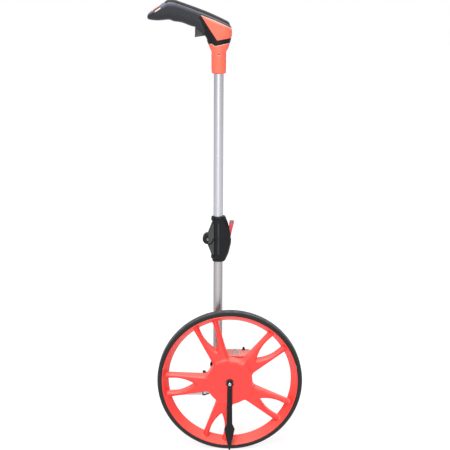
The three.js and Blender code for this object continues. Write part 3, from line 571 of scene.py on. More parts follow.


# upper paints a highlight on the wheel's faces that look up.
WHEEL_RED = moulded("wheel_red", (240, 56, 50), 0.42, worn=(250, 120, 104), spread=0.06,
                    upper=(240, 106, 96), rise=(0.3, 0.95))
# side paints shade on the neck's aslant sides; upper paints a highlight on the panel's upward top.
HANDLE_ORANGE = moulded("handle_orange", (246, 106, 80), 0.38, worn=(250, 150, 126), spread=0.06,
                        side=(240, 92, 84), upper=(252, 200, 182), rise=(0.08, 0.36))
# upper paints a highlight on the gearbox's faces that look up.
HOUSING_RED = moulded("housing_red", (232, 92, 78), 0.42, worn=(244, 130, 112), spread=0.06,
                      upper=(228, 132, 124))
BLACK_PLASTIC = moulded("black_plastic", (22, 23, 26), 0.4, worn=(46, 48, 50), spread=0.08, gloss=0.16)
# flats paint reflections: the webs and the ridge, which face along Y, are lighter grey.
JOINT_BLACK = moulded("joint_black", (22, 23, 26), 0.4, worn=(46, 48, 50), spread=0.08, gloss=0.2,
                      flats=[((64, 67, 66), 12.9, 13.9), ((50, 51, 56), 16.1, 20)])
# Painted shade: the dark brown of the insert in the neck's slot stands in for the shade inside the slot.
SLOT_SHADE_BROWN = moulded("slot_shade_brown", (150, 58, 40), 0.5, spread=0.05)
# upper paints a highlight on the trigger's faces that look up.
TRIGGER_GREY = moulded("trigger_grey", (66, 63, 64), 0.4, spread=0.1, gloss=0.3, upper=(96, 92, 94))
# upper paints a highlight on the faces of the strip and pointer that look up.
GLOSS_BLACK = moulded("gloss_black", (24, 24, 24), 0.34, grain_depth=0.012, spread=0.08, gloss=0.2,
                      upper=(64, 62, 61))
# upper paints the highlight along the grip's upper side, a reflection of the light from above.
GRIP_RUBBER = moulded("grip_rubber", (40, 41, 47), 0.46, grain_mm=0.6, grain_depth=0.05, spread=0.08,
                      gloss=0.3, upper=(132, 134, 150))
SOFT_RUBBER = moulded("soft_rubber", (26, 27, 28), 0.7, grain_depth=0.05, spread=0.08, gloss=0.3)
LEVER_RED = moulded("lever_red", (200, 62, 72), 0.35, grain_depth=0.015, worn=(200, 120, 124))
PAD_GREY = moulded("pad_grey", (172, 98, 102), 0.6, spread=0.04)
NYLON = moulded("nylon", (232, 228, 214), 0.5, spread=0.03)
DRUM_WHITE = moulded("drum_white", (206, 208, 200), 0.5, spread=0.02)
DRUM_RED = moulded("drum_red", (190, 40, 36), 0.45, spread=0.03)
DRUM_BLACK = moulded("drum_black", (58, 62, 58), 0.45, spread=0.03)
# side paints shade on the tubes' flanks, where they turn from view.
TUBE_METAL = metal("drawn_aluminium", (214, 214, 222), 0.36, side=0.62)
LOWER_TUBE_METAL = metal("dull_aluminium", (194, 190, 192), 0.4, side=0.5)
BAR_METAL = metal("sawn_aluminium", (206, 208, 210), 0.4, stretch=(0.02, 1, 1))
BRIGHT_STEEL = metal("bright_steel", (198, 200, 204), 0.24, stretch=(1, 1, 1), line_mm=0.6)
BLACK_STEEL = metal("black_steel", (62, 63, 66), 0.42, stretch=(1, 1, 1), line_mm=0.6)
GREY_STEEL = metal("grey_steel", (128, 130, 134), 0.3, stretch=(1, 1, 1), line_mm=0.6)
TREAD = tread_rubber("tread_rubber")
CLEAR = clear_plastic("clear_plastic")

# ---- fasteners


def hexagon(u, v, apothem):
    """Distance to a hexagon's sides."""
    turns = [math.radians(30 + 60 * i) for i in range(3)]
    return np.maximum.reduce([np.abs(u * math.cos(a) + v * math.sin(a)) for a in turns]) - apothem


def fastener(node, body, way=1, head=2.0, shank=1.5, drive="cross", material=None):
    """A screw, bolt or pin along Y. Its head faces +Y if way is 1, and -Y if it is -1."""
    low, high = box(node)
    centre = (low + high) / 2
    head_r = (high[0] - low[0]) / 2
    face = high[1] if way > 0 else low[1]
    step = head_r / 12
    grid = Grid(low - centre * (1, 0, 1), high - centre * (1, 0, 1), step)
    u, y, v = grid.axes
    deep = way * (face - y)
    r = np.hypot(u, v)
    dome = 0.35 * head * (r / head_r) ** 2 - deep
    field = common(r - head_r, dome, deep - head, soft=0.3 * head)
    field = union(field, common(r - shank, -deep, deep - (high[1] - low[1]), soft=0.4))
    if drive == "cross":
        arm = np.minimum(np.abs(u), np.abs(v)) - 0.15 * head_r
        recess = common(arm, np.maximum(np.abs(u), np.abs(v)) - 0.55 * head_r, deep - 0.7 * head)
    else:
        recess = common(hexagon(u, v, 0.42 * head_r), deep - 0.6 * head)
    shape = carved(grid, cut(field, recess, soft=0.08 * head_r))
    return piece(f"{node}_body", shape, body, material or BRIGHT_STEEL, [node],
                 at=centre * (1, 0, 1))


def nut(node, body, bore):
    low, high = box(node)
    centre = (low + high) / 2
    width = (high[2] - low[2]) / 2
    grid = Grid(low - centre, high - centre, width / 14)
    x, y, z = grid.axes
    r = np.hypot(x, z)
    half = (high[1] - low[1]) / 2
    chamfer = (r - width * 1.06 + (np.abs(y) - half) * 1.7) * 0.5
    field = common(hexagon(x, z, width), np.abs(y) - half, chamfer, soft=0.2)
    shape = carved(grid, cut(field, r - bore, soft=0.2))
    return piece(f"{node}_body", shape, body, BRIGHT_STEEL, [node], at=centre)


# ---- the wheel

FORKS = 5
FORK_TURN = math.radians(41)
HUB_R = 50.0
BOSS_R = 11.5
BRAKE_R = 36.0
WALL = 2.5
RIM_FRONT_R = RIM_R - 1.9
RIM_BACK_R = RIM_R - 14.9
SEAT = (TYRE_HIGH[1] - TYRE_LOW[1]) / 2 + 2.3


def rim_cone(y):
    """Radius of the rim's dished face: it leans inwards towards the back."""
    return RIM_FRONT_R + (RIM_BACK_R - RIM_FRONT_R) * (y + SEAT) / (2 * SEAT)


def wheel_spider():
    grid = Grid((-RIM_R, HUB_FRONT, -RIM_R), (RIM_R, HUB_BACK, RIM_R), 1.2)
    x, y, z = grid.axes
    r = np.hypot(x, z)
    turn = 2 * math.pi / FORKS
    angle = (np.arctan2(z, x) - FORK_TURN + turn / 2) % turn - turn / 2
    u, w = r * np.cos(angle), r * np.sin(angle)

    sides = (np.abs(w) - 17.6 - (u - HUB_R) * 0.125) * 0.99
    curve = [(77, 0), (80.6, 2.9), (88, 6.9), (98, 11.3), (112, 14.9), (126, 15.9), (150, 15.6)]
    curve = flowing(curve)
    mouth = outline(u, w, curve + [(a, -b) for a, b in reversed(curve[1:])])
    edge = common(sides, -mouth)
    slope = (r - HUB_R) / (RIM_FRONT_R - HUB_R)
    front = HUB_FRONT + 2 + 14 * slope + 0.85 * np.clip(edge + 4.6, 0, None)
    reach = r - rim_cone(y)
    body = common(edge, front - y, y - 9, reach - 1.2, HUB_R - 5 - r, soft=1.4)
    hollow = common(edge + WALL, front + WALL - y, reach + 1, HUB_R - 1 - r)
    ribs = common(union(np.abs(w), np.abs(u - 66)) - 1.2, edge + 1, front + 1 - y, y - 7.5, r - 81)
    fork = union(cut(body, hollow, soft=0.8), common(ribs, 48 - r), soft=0.8)

    inside = HUB_R - WALL
    shell = [(-9, HUB_FRONT + 1.4), (HUB_R, HUB_FRONT + 1.4), (HUB_R, 11.5), (inside, 11.5),
             (inside, HUB_FRONT + 4), (BOSS_R, HUB_FRONT + 4), (BOSS_R, HUB_BACK), (-9, HUB_BACK)]
    hub = outline(r, y, shell)
    spoke_ribs = common(np.abs(w) - 1.2, HUB_FRONT + 2 - y, y - 8.5, BOSS_R - 1 - r, r - inside)
    flange = common(r - BRAKE_R, BOSS_R - 2 - r, slab(y, 9.1, 11.5), soft=0.8)
    disc = common(r - HUB_R + 2.4, HUB_FRONT - y, y + 14, soft=2.4)

    seat = SEAT
    rim = [(RIM_R, -seat), (RIM_R, seat), (RIM_R - WALL, seat), (RIM_R - WALL, -seat / 2),
           (RIM_BACK_R + WALL, seat), (RIM_BACK_R, seat), (RIM_FRONT_R, -seat)]
    field = union(fork, hub, soft=9)
    field = union(field, outline(r, y, rim), soft=2.4)
    field = union(field, spoke_ribs, flange, soft=1)
    field = union(field, disc, soft=1.6)
    bores = [r - 5.2, common(r - 8.6, y - HUB_FRONT - 7.4), common(r - 8.6, HUB_BACK - 6 - y)]
    return carved(grid, cut(field, *bores, soft=0.5))


def tyre():
    """Soft beads at the rim, rounded shoulders and fine ribs round the tread."""
    inner = RIM_R + 0.3
    half = (TYRE_HIGH[1] - TYRE_LOW[1]) / 2
    side = [(inner, -half + 0.9), (inner + 0.5, -half + 0.2), (inner + 1.4, -half),
            (inner + 2.2, -half + 0.1), (inner + 2.6, -half + 0.5), (inner + 3.2, -half + 0.15)]
    shoulder = 2.8
    for step in range(7):
        angle = math.pi / 2 * step / 6
        side.append((WHEEL_R - shoulder + shoulder * math.sin(angle),
                     -half + shoulder * (1 - math.cos(angle))))
    grooves = []
    for y in (-4.8, -2.4, 0.0, 2.4, 4.8):
        grooves += [(WHEEL_R, y - 0.55), (WHEEL_R - 0.45, y - 0.3), (WHEEL_R - 0.45, y + 0.3),
                    (WHEEL_R, y + 0.55)]
    profile = side + grooves + [(radius, -y) for radius, y in reversed(side)]
    return revolve(profile, 320)


piece("wheel", wheel_spider(), "wheel", WHEEL_RED, ["wheel_spider"], at=AXLE)
piece("tyre_rubber", tyre(), "wheel", TREAD, ["tyre"], at=AXLE)

# ---- the pointer

EYE_R = 7.6


def pointer():
    low, high = box("pointer", AXLE)
    grid = Grid(low, high, 0.55)
    x, y, z = grid.axes
    tip = low[2]
    half = [(5.3, -2), (6.2, -94), (11.6, -106), (4.9, -139), (1.5, tip)]
    flat = outline(x, z, [(-5.3, -2)] + half + [(-a, b) for a, b in reversed(half[1:])])
    r = np.hypot(x, z)
    back = high[1]
    front = low[1] + 0.4
    blade = common(flat, front + 0.5 * np.clip(flat + 1.6, 0, None) - y, y - back, soft=0.5)
    ring = common(r - EYE_R, low[1] - y, y - back, soft=0.8)
    dish = common(r - 5.2, y - low[1] - 0.5)
    return carved(grid, cut(union(blade, ring, soft=0.8), dish, r - 2.9, soft=0.3))


piece("pointer_blade", pointer(), "pointer", GLOSS_BLACK, ["pointer"], at=AXLE)
fastener("pointer_screw", "chassis", way=-1, head=3.2, shank=3.0)

# ---- gearbox

BOX_LOW, BOX_HIGH = box("gearbox_front_shell")
BOX_SPLIT, BOX_BACK = BOX_HIGH[1], box("gearbox_rear_shell")[1][1]
SOCKET_TOP = BOX_HIGH[2] - AXLE[2]
PANE_LOW, PANE_HIGH = box("counter_window", AXLE)
BOX_TOP = PANE_HIGH[2] - 0.3
RESET_LOW, RESET_HIGH = box("reset_lever", AXLE)
BOX_OUTLINE = [(-42, SOCKET_TOP), (-12, SOCKET_TOP), (-12, BOX_TOP), (48, BOX_TOP), (48, -8), (22, -40),
               (-22, -44), (-42, -30)]
BOX_HOLLOW = [(-10, BOX_TOP - 2.4), (45.6, BOX_TOP - 2.4), (45.6, -7), (20.5, -37.5), (-14, -40.5),
              (-14, -22), (-10, -22)]


def gearbox(front):
    y0, y1 = (BOX_LOW[1], BOX_SPLIT) if front else (BOX_SPLIT + 0.3, BOX_BACK)
    grid = Grid((BOX_LOW[0], y0, BOX_LOW[2] - AXLE[2]), (BOX_HIGH[0], y1, SOCKET_TOP), 0.85)
    x, y, z = grid.axes
    flat = outline(x, z, BOX_OUTLINE, 7)
    field = common(flat, slab(y, y0, y1), soft=1.6)
    hollow = outline(x, z, BOX_HOLLOW, 5)
    walls = slab(y, y0 + 2.4, y1 + 9) if front else slab(y, y0 - 9, y1 - 2.4)
    field = cut(field, common(hollow, walls), soft=0.8)
    if front:
        field = cut(field, np.hypot(x, z) - 12.5, rod(x, z, -3, -26, 6.4), soft=0.6)
    else:
        field = union(field, common(np.hypot(x, z) - 8.5, slab(y, y0 + 2, y1 - 0.5)), soft=0.8)
        field = cut(field, common(np.hypot(x, z) - 6.4, y1 - 3.3 - y), soft=0.5)
        panel = common(flat + 9, y1 - 0.8 - y)
        field = cut(field, cut(panel, np.hypot(x, z) - 13), soft=0.5)
        pads = [pin(x, z, middle(f"gearbox_screw_{i}") - AXLE, 5.4) for i in range(1, 5)]
        field = union(field, common(np.minimum.reduce(pads), slab(y, y1 - 3, y1)), soft=0.8)
        lever = common(slab(x, RESET_LOW[0] - 1, RESET_HIGH[0] + 6),
                       slab(y, RESET_LOW[1] - 1, RESET_HIGH[1] + 1))
        field = cut(field, common(lever, BOX_TOP - 4 - z), soft=0.5)
    pole = POLE - AXLE
    socket = rod(x, y, pole[0], pole[1], 10.3)
    lip = common(socket - 2.6, slab(z, SOCKET_TOP - 1.6, SOCKET_TOP))
    groove = common(-flat - 0.7, slab(z, SOCKET_TOP - 4.6, SOCKET_TOP - 3.6))
    window = common(slab(x, PANE_LOW[0] - 0.3, PANE_HIGH[0] + 0.3),
                    slab(y, PANE_LOW[1] - 0.3, PANE_HIGH[1] + 0.3), BOX_TOP - 4 - z)
    rim = common(window - 2, slab(z, BOX_TOP - 2, BOX_TOP + 0.5))
    field = union(field, rim, soft=0.8)
    bolt = pin(x, z, middle("tube_bolt") - AXLE, 2.3)
    tools = [common(socket, -20 - z), common(groove, x + 12), window, bolt]
    return carved(grid, cut(union(field, lip, soft=0.5), *tools, soft=0.5))


def window_pane():
    """A clear pane with a thin flange that lies on the rim round its opening."""
    low, high = PANE_LOW, PANE_HIGH
    grid = Grid(low - 1.8, high + 1.8, 0.4)
    x, y, z = grid.axes
    pane = common(slab(x, low[0], high[0]), slab(y, low[1], high[1]), soft=1)
    flange = common(pane - 1.8, slab(z, BOX_TOP + 0.6, BOX_TOP + 1.2))
    field = union(common(pane, slab(z, low[2], BOX_TOP + 1)), flange)
    return carved(grid, levelled(field, grid.step))


def reset_lever():
    low, high = RESET_LOW, RESET_HIGH
    grid = Grid(low, high, 0.3)
    x, y, z = grid.axes
    centre = (low + high) / 2
    half = (high[0] - low[0]) / 2
    blade = bar(x, z, (centre[0], low[2] + half), (centre[0], high[2] - half), half)
    field = common(blade, slab(y, low[1], high[1]), soft=1)
    ridges = [common(slab(z, top, top + 0.5), np.abs(x - centre[0]) - 9, slab(y, low[1], low[1] + 0.5))
              for top in (high[2] - 2.6, high[2] - 3.9, high[2] - 5.2)]
    hole = rod(x, z, centre[0], low[2] + 4, 1.45)
    return carved(grid, cut(field, *ridges, hole, soft=0.3))


piece("gearbox_front", gearbox(True), "chassis", HOUSING_RED, ["gearbox_front_shell"], at=AXLE)
piece("gearbox_rear", gearbox(False), "chassis", HOUSING_RED, ["gearbox_rear_shell"], at=AXLE)
piece("window_pane", window_pane(), "chassis", CLEAR, ["counter_window"], at=AXLE)
piece("reset_tab", reset_lever(), "reset_lever", BLACK_PLASTIC, ["reset_lever"], at=AXLE)
for number in range(1, 5):
    fastener(f"gearbox_screw_{number}", "chassis", head=2.0, shank=1.5)
fastener("tube_bolt", "chassis", head=2.6, shank=2.0, drive="hex")
nut("axle_nut", "chassis", 3.2)

# ---- counter drums and their figures

FIGURE_HEIGHT = 4.4


def drum(node):
    low, high = box(node)
    outer = (high[2] - low[2]) / 2
    width = high[1] - low[1]
    profile = [(2.3, 0), (outer - 3.2, 0), (outer - 2.6, 0.5), (outer - 1.3, 0.5), (outer - 0.9, 0),
               (outer - 0.4, 0), (outer, 0.4), (outer, width - 0.4), (outer - 0.4, width), (2.3, width)]
    return moved(revolve(profile, 80), (low + high) / 2 * (1, 0, 1) + (0, low[1], 0))


def figures(node):
    """The figures 0 to 9 round a drum, read from above with +Y to the left."""
    low, high = box(node)
    centre = (low + high) / 2
    radius = (high[2] - low[2]) / 2
    shapes = []
    for figure in range(10):
        curve = bpy.data.curves.new("figure", "FONT")
        curve.body = str(figure)
        curve.align_x, curve.align_y = "CENTER", "CENTER"
        curve.size = FIGURE_HEIGHT * 1.38
        curve.extrude = 0.06
        source = bpy.data.objects.new("figure", curve)
        mesh = bpy.data.meshes.new_from_object(source)
        work = bmesh.new()
        work.from_mesh(mesh)
        bmesh.ops.triangulate(work, faces=work.faces)
        for _ in range(3):
            long = [edge for edge in work.edges if edge.calc_length() > 0.9]
            bmesh.ops.subdivide_edges(work, edges=long, cuts=1)
            bmesh.ops.triangulate(work, faces=work.faces)
        flat = np.array([v.co for v in work.verts])
        faces = [[v.index for v in face.verts] for face in work.faces]
        work.free()
        bpy.data.objects.remove(source)
        bpy.data.curves.remove(curve)
        bpy.data.meshes.remove(mesh)
        turn = flat[:, 1] / radius - figure * math.pi / 5
        reach = radius + 0.05 + flat[:, 2]
        shapes.append((np.stack([centre[0] + reach * np.sin(turn), centre[1] - flat[:, 0],
                                 centre[2] + reach * np.cos(turn)], axis=1), faces))
    return together(*shapes)


for number in range(1, 6):
    rider = "counter" if number == 1 else f"drum_{number}"
    ground = DRUM_RED if number == 1 else DRUM_BLACK
    node = f"digit_drum_{number}"
    piece(f"drum_{number}_ring", drum(node), rider, ground, [node], angle=35)
    piece(f"drum_{number}_figures", figures(node), rider, DRUM_WHITE, angle=35)

# ---- stand

STAND = joint_at("stand_swing")
LEG_LOW, LEG_HIGH = box("stand_leg")


def stand_bracket():
    """An arm beside the gearbox, a strap on its front, and a slot for the leg behind an open front cheek."""
    low, high = box("stand_bracket", AXLE)
    grid = Grid(low, high, 0.6)
    x, y, z = grid.axes
    side = -42.3
    arm = outline(x, z, [(side, 0), (-52.5, 0.8), (-54.8, 4.8), (-60.8, 4.8), (-60.8, -42.4), (-56, -42.4),
                         (-47, -38.4), (side, -36)], 2)
    strap = outline(x, z, [(-46, -20), (-46, -4), (-41.5, 6), (-41.5, 24), (-43.6, 28), (-43.6, 34),
                           (-40.4, 39), (-36, 39), (-36, -20)], 1)
    field = union(common(arm, slab(y, low[1], high[1]), soft=1.4),
                  common(strap, slab(y, low[1], low[1] + 2.6), soft=0.5), soft=0.8)
    pocket = outline(x, z, [(-58.4, 3.2), (-55, 3.2), (-53, -2), (-45, -2.6), (-45, -21), (-58.4, -21)],
                     1.6)
    opening = outline(x, z, [(-58.4, -39.9), (-58.4, -25), (-45, -25), (-45, -36.4), (-56.5, -39.9)], 1.6)
    leg_front, leg_back = LEG_LOW[1] - 0.6, LEG_HIGH[1] + 0.6
    slot = common(slab(y, leg_front, leg_back), z + 25.5, x + 42)
    pivot = pin(x, z, STAND - AXLE, 2.3)
    tools = [common(pocket, leg_back + 3.4 - y), common(opening, y - leg_front - 1), slot,
             common(pivot, leg_front - y)]
    return carved(grid, cut(field, *tools, soft=0.5))


def stand_leg():
    low, high = LEG_LOW - STAND, LEG_HIGH - STAND
    grid = Grid(low, high, 0.55)
    x, y, z = grid.axes
    end = low[0]
    flat = outline(x, z, [(7.5, -6.6), (7.5, 6.6), (end, 3.4), (end, -8.4)], 6)
    thick = (high[1] - low[1]) / 2
    field = common(flat, np.abs(y) - thick, soft=1)
    groove = common(bar(x, z, (end + 24, -2), (-14, -0.3), 2.4), thick - 0.8 - np.abs(y))
    return carved(grid, cut(field, groove, np.hypot(x, z) - 2.3, soft=0.5))


def stand_foot():
    low, high = box("stand_foot", STAND)
    grid = Grid(low, high, 0.55)
    x, y, z = grid.axes
    end, start = low[0], high[0]
    flat = outline(x, z, [(start, low[2]), (start, 5.9), (end, 5.4), (end, low[2])], 4)
    field = common(flat, slab(y, low[1], high[1]), soft=1.5)
    pocket = common(np.abs(z + 2.2) - 6.6, np.abs(y) - 2.7, LEG_LOW[0] - STAND[0] - 0.3 - x)
    grooves = [common(slab(x, end + at, end + at + 0.9), -flat - 0.7) for at in (3, 5.4, 7.8)]
    return carved(grid, cut(field, pocket, *grooves, soft=0.5))


piece("bracket", stand_bracket(), "chassis", BLACK_PLASTIC, ["stand_bracket"], at=AXLE)
piece("leg", stand_leg(), "stand", BAR_METAL, ["stand_leg"], at=STAND)
piece("foot", stand_foot(), "stand", SOFT_RUBBER, ["stand_foot"], at=STAND)
fastener("stand_pin", "chassis", way=-1, head=1.3, shank=2.0)

# ---- pole


def tube(node):
    """A drawn tube with lightly chamfered ends."""
    low, high = box(node)
    outer = (high[0] - low[0]) / 2
    inner = outer - 1.4
    profile = [(inner, low[2]), (outer - 0.4, low[2]), (outer, low[2] + 0.4), (outer, high[2] - 0.4),
               (outer - 0.4, high[2]), (inner, high[2])]
    return moved(upright(revolve(profile, 96)), POLE)


piece("lower_tube_body", tube("lower_tube"), "chassis", LOWER_TUBE_METAL, ["lower_tube"], angle=30)
piece("upper_tube_body", tube("upper_tube"), "upper_pole", TUBE_METAL, ["upper_tube"], angle=30)

# ---- fold joint

HINGE_X = FOLD[0] - POLE[0]
KNUCKLE_R = 11.2
HINGE_PIN_R = 1.8
KNUCKLE_HALF = 12.4
WING_HALF = 13.4
EAR = 7.0
KNUCKLE_GAP = 0.6
TUBE_R = {1: 10.8, -1: 10.3}
CLAMP = {1: middle("upper_clamp_bolt"), -1: middle("lower_clamp_bolt")}
UPPER_STATIONS = [(-0.3, -13.4, 28.4, 15.4), (9, -14, 28, 16), (22, -14.4, 25.2, 15.8), (37, -13.2, 20.4, 15),
                  (49.4, -12.2, 15, 13.4)]
LOWER_STATIONS = [(-50.4, -11.2, 11.4, 11.4), (-48.8, -12.2, 14.4, 12.6), (-43.6, -12.6, 18, 13.8),
                  (-30.4, -13.6, 23.4, 15.4), (-17, -14.2, 26.6, 16), (-8, -14, 28.4, 16),
                  (0.3, -13.4, 28.5, 15.4)]


def joint_housing(way):
    """The upper half for way 1 and the lower for way -1, round the pole's axis at the hinge's height."""
    node = "upper_joint_housing" if way > 0 else "lower_joint_housing"
    origin = POLE + (0, 0, FOLD[2])
    low, high = box(node, origin)
    grid = Grid(low, high, 0.75)
    x, y, z = grid.axes
    up = z * way
    body = levelled(loft(z, x, y, UPPER_STATIONS if way > 0 else LOWER_STATIONS), grid.step)
    body = common(body, (np.abs(y) - 16.2 + 0.215 * (x - 3)) * 0.98, soft=2)
    top = high[2] if way > 0 else -low[2]
    ridge = common(body - 0.8, np.abs(x) - 4.4, up - top + 4, soft=2.4)
    field = union(body, ridge, soft=2.4)
    collar = slab(up, top - 4.6, top - 0.2)
    grooves = common(-body - 0.6, union(slab(up, top - 6, top - 5.1), slab(up, top - 1.9, top - 1.3)))
    field = union(field, common(body - 0.6, collar, soft=0.6), soft=0.5)

    wing = outline(x, up, [(-8, 0.02), (-22, 0.02), (-22.4, 12), (-13.6, 34.6), (-8, 35.6)])
    web = common(wing, np.abs(y) - WING_HALF, soft=0.8)
    field = union(cut(field, common(np.abs(x + 8.6) - 1.1, 11.6 - np.abs(y), up - 37), soft=0.5), web)
    round_hinge = np.hypot(x - HINGE_X, z)
    if way > 0:
        ears = common(round_hinge - KNUCKLE_R, np.abs(y) - KNUCKLE_HALF, soft=1.2)
        thick = common(round_hinge - KNUCKLE_R, np.abs(y) - WING_HALF, HINGE_X - x, x, soft=0.8)
        field = union(field, ears, thick)
        field = cut(field, common(round_hinge - KNUCKLE_R - KNUCKLE_GAP, np.abs(y) - EAR - 0.3), soft=0.4)
    else:
        field = cut(field, common(round_hinge - KNUCKLE_R - KNUCKLE_GAP, EAR - np.abs(y)), soft=0.4)
        field = union(field, common(round_hinge - KNUCKLE_R, np.abs(y) - EAR, soft=1), soft=0.4)
    spot = CLAMP[way] - origin
    ear = common(pin(x, z, spot, 3.1), np.abs(y) - 12, soft=1)
    field = union(field, ear, soft=1)
    if way > 0:
        tools = [common(slab(x, 13, 60), np.abs(y) - 6, slab(z, -9, 31))]
    else:
        tools = [common(slab(x, 12.5, 27.2), np.abs(y) - 6, slab(z, -8, 9))]
    bore = common(np.hypot(x, y) - TUBE_R[way], 5.6 - up)
    cable = np.hypot(x, y) - 3
    tools += [bore, cable, round_hinge - HINGE_PIN_R - 0.3, pin(x, z, spot, 1.5), grooves]
    return carved(grid, cut(field, *tools, soft=0.5))


def lock_lever():
    """A slim lever that leans out of its slot, with a ribbed pad at its top."""
    pivot = joint_at("lever_release")
    low, high = box("lock_lever", pivot)
    grid = Grid(low, high, 0.4)
    x, y, z = grid.axes
    tip = high[2]
    flat = outline(x, z, [(-4, -3), (-3.2, -9), (1, -9), (3.8, -3), (5.7, 8), (10, 26), (high[0], tip),
                          (1.2, tip), (-0.4, 20), (-4, 5)], 1.6)
    field = common(flat, np.abs(y) - high[1], soft=1.6)
    ribs = [slab(z, tip - at, tip - at + 0.9) for at in (2, 4, 6)]
    cap = common(tip - 7.4 - z, -common(-field - 0.7, np.minimum.reduce(ribs)))
    scoop = common(rod(x, z, 17.5, 14, 10.2), np.abs(y) - 3.4)
    slot = common(slab(x, -3.6, 8), slab(z, -3.6, 3.6), np.abs(y) - 2.6)
    blade = cut(field, tip - 7.35 - z, scoop, slot, np.hypot(x, z) - 1.75, soft=0.5)
    return {"blade": carved(grid, blade), "pad": carved(grid, common(field, cap))}


piece("upper_joint", joint_housing(1), "upper_pole", JOINT_BLACK, ["upper_joint_housing"],
      at=POLE + (0, 0, FOLD[2]))
piece("lower_joint", joint_housing(-1), "chassis", JOINT_BLACK, ["lower_joint_housing"],
      at=POLE + (0, 0, FOLD[2]))
lever = lock_lever()
piece("red_lever", lever["blade"], "lock_lever", LEVER_RED, ["lock_lever"],
      at=joint_at("lever_release"))
piece("lever_pad", lever["pad"], "lock_lever", PAD_GREY, at=joint_at("lever_release"))
fastener("hinge_bolt", "chassis", way=-1, head=1.6, shank=HINGE_PIN_R, drive="hex", material=GREY_STEEL)
nut("hinge_nut", "chassis", HINGE_PIN_R + 0.2)
fastener("upper_clamp_bolt", "upper_pole", way=-1, head=1.5, shank=1.2, material=BLACK_STEEL)
fastener("lower_clamp_bolt", "chassis", way=-1, head=1.5, shank=1.2, material=BLACK_STEEL)

# ---- handle

SKIN = 2.4
INLAY_GAP = 0.04
SPLIT_GAP = 0.12
GRIP_STATIONS = [(-148.2, 113.6, 118.6, 3), (-146.8, 111.8, 121.8, 8), (-142, 110.4, 127, 12),
                 (-134, 109.4, 133.8, 14.6), (-126, 109, 139.2, 15.8), (-115, 109.9, 145, 16.4),
                 (-104, 110.8, 151.4, 16.6), (-93, 107.5, 151.3, 16.4), (-80, 105.8, 147.6, 16),
                 (-60, 99, 140.8, 15.4), (-48, 95, 136.7, 15.2), (-38, 87, 133, 15.4), (-26, 80, 128.6, 15.8),
                 (-5, 72, 119.7, 16.4), (12, 70, 111.8, 16.2), (20, 73, 107.4, 15), (24.6, 80, 98.4, 12)]
NECK_STATIONS = [(0.4, -11.4, 11.4, 11.4), (2, -14, 14.2, 14), (4, -15.4, 15.4, 15.4),
                 (36, -15.6, 15.6, 15.6), (44, -15.4, 15.5, 15.4), (53.4, -19, 20, 15.4),
                 (62, -22.4, 22.6, 15.8), (74, -26.8, 25.8, 16), (85, -33, 26.8, 15), (92, -36, 25.6, 12.6),
                 (96, -30, 23.6, 9)]
STRIP_LINE = [(24, 99.6), (2.2, 110.2), (-18.5, 118.9), (-39.2, 127), (-59.8, 134.5), (-80.4, 141.6),
              (-92.8, 145.6), (-104, 146.4), (-110, 143)]
PANEL = [(-37.7, 120.8), (-8.1, 110), (30, 93), (30, 75.2), (-3.4, 68.6), (-18.4, 90.7)]
BAND_EDGE = [(-24, 61.5), (-14.2, 62.6), (-7.5, 57.7), (40, 68.3)]
BAND = [(-36.8, 119), (-40.6, 114.6), (-35.4, 105), (-28, 88), (-29.6, 82.4), (-40, 80), (-40, 61.5),
        *BAND_EDGE, (40, 76.9), (-3.4, 68.6), (-18.4, 90.7)]
BUTT = [(-160, 128), (-139, 126.6), (-134, 130.6), (-120, 139.4), (-117, 160), (-160, 160)]
ABOVE_NECK = [(-170, 80), (-170, 170), (40, 170), (40, 85), (-25, 100), (-25, 80)]
NECK_PART = [(-40, 61.5), *BAND_EDGE, (40, -10), (-40, -10)]
STRAP_SLOT = [(-134, 128.2), (-121, 136.8), (-119.4, 133.4), (-132.4, 125.2)]
TRIGGER_PIN_HALF = 7.7
TRIGGER_POCKET = [(-51, 70), (-21.5, 70), (-21.5, 95), (-30, 103), (-51, 103)]


